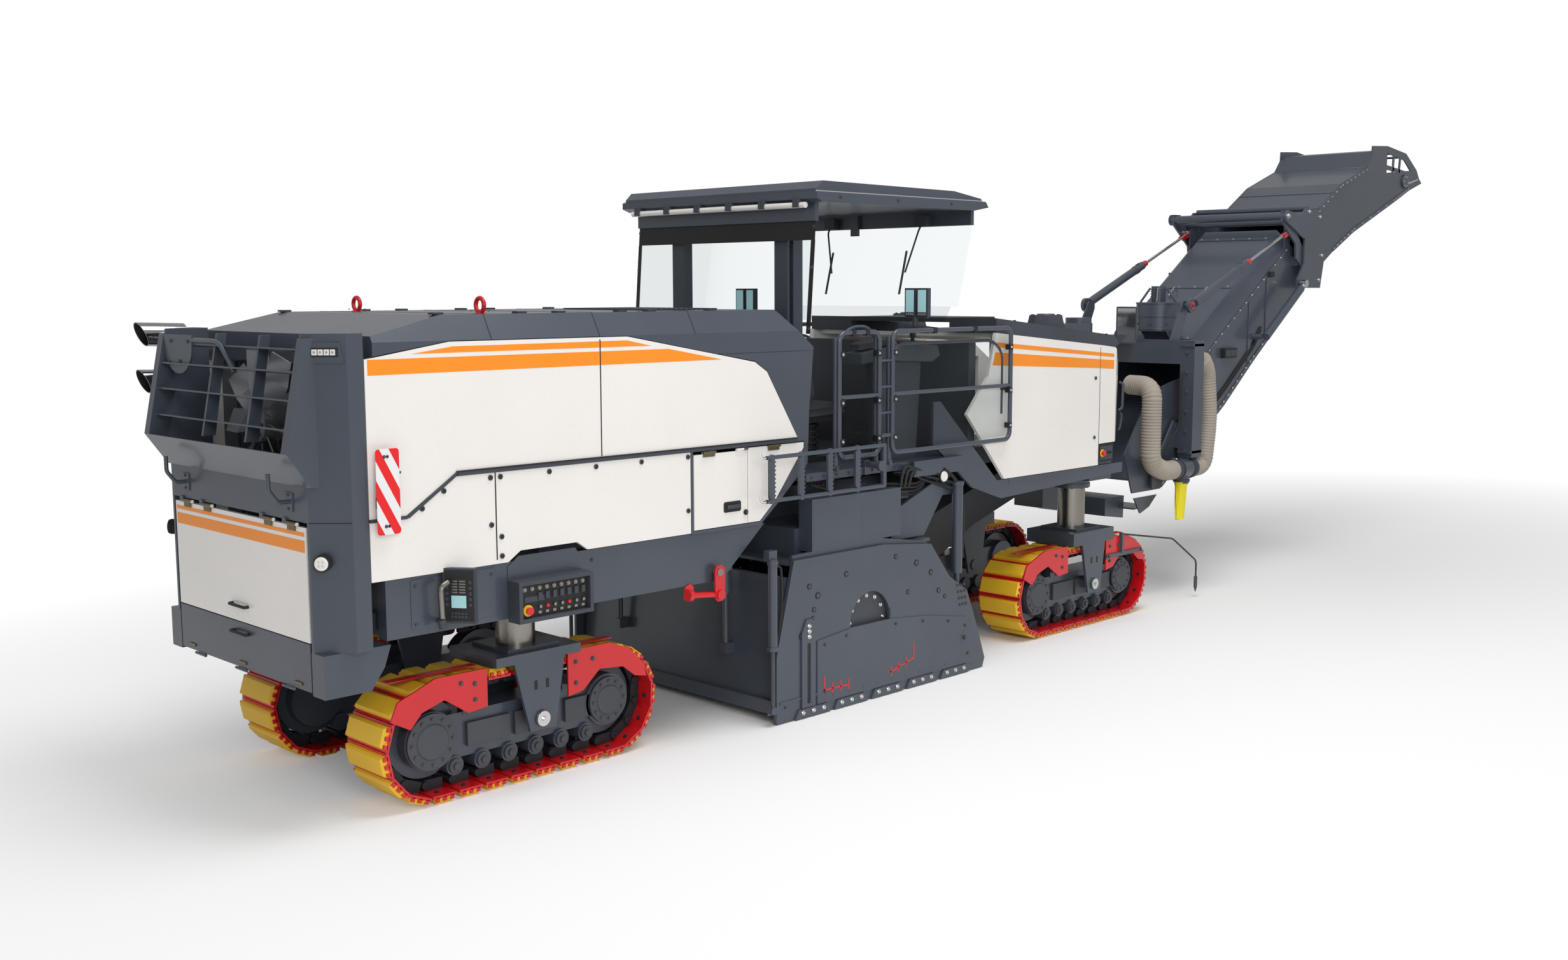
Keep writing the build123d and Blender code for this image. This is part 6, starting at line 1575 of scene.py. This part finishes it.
for x, z in ((7.16, 4.812), (7.424, 4.783), (7.742, 4.598)):
    stub(shape, x, z, -0.595, 0.595, 0.014, 0, 14)
head = mount(shape, "conveyor_head_fittings", "conveyor_head", [slate_paint, rod_steel, black_rubber],
    0.0015, 1)

# %% Gate and portal
shape = bmesh.new()
for side, hand in SIDES:
    for z in (1.5, 1.7, 1.9, 2.1, 2.3, 2.5):
        bolt(shape, (1.949, side * 0.78, z), (-1, 0, 0), 0.014, 1)
    for z in (1.47, 2.56):
        block(shape, (1.935, side * 0.7, z), (2.155, side * 0.86, z + 0.03), 0)
    tube(shape, [(1.93, side * 0.74, 2.3), (1.9, side * 0.74, 2.2), (1.9, side * 0.74, 1.75),
        (1.8, side * 0.7, 1.6), (1.68, side * 0.66, 1.35)], 0.012, 2, 0.1)
for x in (1.25, 1.45, 1.65, 1.85):
    for y in (-0.12, 0.12):
        bolt(shape, (x, y, 2.6645), (0, 0, 1), 0.014, 1)
portal = mount(shape, "portal_fittings", "swivel_frame", [slate_paint, cast_steel, black_rubber], 0.002)

# %% [markdown]
# ## Studio
#
# A pale floor runs to the horizon under an even sky. What the camera sees of the sky is plain
# white, through the Light Path node, so no extra light falls on the machine.

# %% Sky
WHITE, SKY_STRENGTH = (1, 1, 1, 1), 0.46
world = bpy.data.worlds.new("studio")
bpy.context.scene.world = world
world.use_nodes = True
sky = world.node_tree
background = sky.nodes["Background"]
background.inputs["Color"].default_value = WHITE
background.inputs["Strength"].default_value = SKY_STRENGTH
white = add_node(sky, "Background", {"Color": WHITE, "Strength": 1.0})
seen = add_node(sky, "LightPath")
either = add_node(sky, "Math", operation="MAXIMUM")
mix_sky = add_node(sky, "MixShader")
wire(sky, (seen, "Is Camera Ray", either, 0), (seen, "Is Transmission Ray", either, 1),
    (either, "Value", mix_sky, "Fac"), (background, "Background", mix_sky, 1),
    (white, "Background", mix_sky, 2), (mix_sky, "Shader", sky.nodes["World Output"], "Surface"))
print("sky ready")


# %% Lamps
def area_lamp(name, at, towards, size, power):
    """A large soft lamp."""
    lamp = bpy.data.objects.new(name, bpy.data.lights.new(name, "AREA"))
    lamp.data.shape = "DISK"
    lamp.data.size = size
    lamp.data.energy = power
    lamp.location = at
    lamp.rotation_euler = (Vector(towards) - Vector(at)).to_track_quat("-Z", "Y").to_euler()
    bpy.context.collection.objects.link(lamp)


area_lamp("overhead", (-3, -4, 14), (-1, 0, 1), 8, 1150)
area_lamp("side", (-12, -14, 7), (-3, 0, 2), 7, 720)
print("two lamps")

# %% Floor
floor_mesh = bpy.data.meshes.new("floor")
FLOOR = 120.0
floor_mesh.from_pydata([(-FLOOR, -FLOOR, 0), (FLOOR, -FLOOR, 0), (FLOOR, FLOOR, 0), (-FLOOR, FLOOR, 0)],
    [], [(0, 1, 2, 3)])
floor = bpy.data.objects.new("floor", floor_mesh)
bpy.context.collection.objects.link(floor)
floor_paint = finish("floor", (0.93, 0.93, 0.93), 0.9, spread=0.0, bump=0.0)
floor_mesh.materials.append(floor_paint)
# Away from the machine the floor shows as the same white as the sky, so no horizon is seen
tree = floor_paint.node_tree
squeeze = add_node(tree, "Mapping", {"Scale": (0.55, 1.0, 1.0)})
reach = add_node(tree, "VectorMath", operation="LENGTH")
fade = add_node(tree, "MapRange", {"From Min": 3.0, "From Max": 8.0})
share = add_node(tree, "Math", operation="MULTIPLY")
blend = add_node(tree, "MixShader")
wire(tree, (add_node(tree, "TexCoord"), "Object", squeeze, "Vector"), (squeeze, "Vector", reach, 0),
    (reach, "Value", fade, "Value"), (fade, "Result", share, 0),
    (add_node(tree, "LightPath"), "Is Camera Ray", share, 1), (share, "Value", blend, "Fac"),
    (tree.nodes["Principled BSDF"], "BSDF", blend, 1), (add_node(tree, "Emission"), "Emission", blend, 2),
    (blend, "Shader", tree.nodes["Material Output"], "Surface"))
print("floor ready")
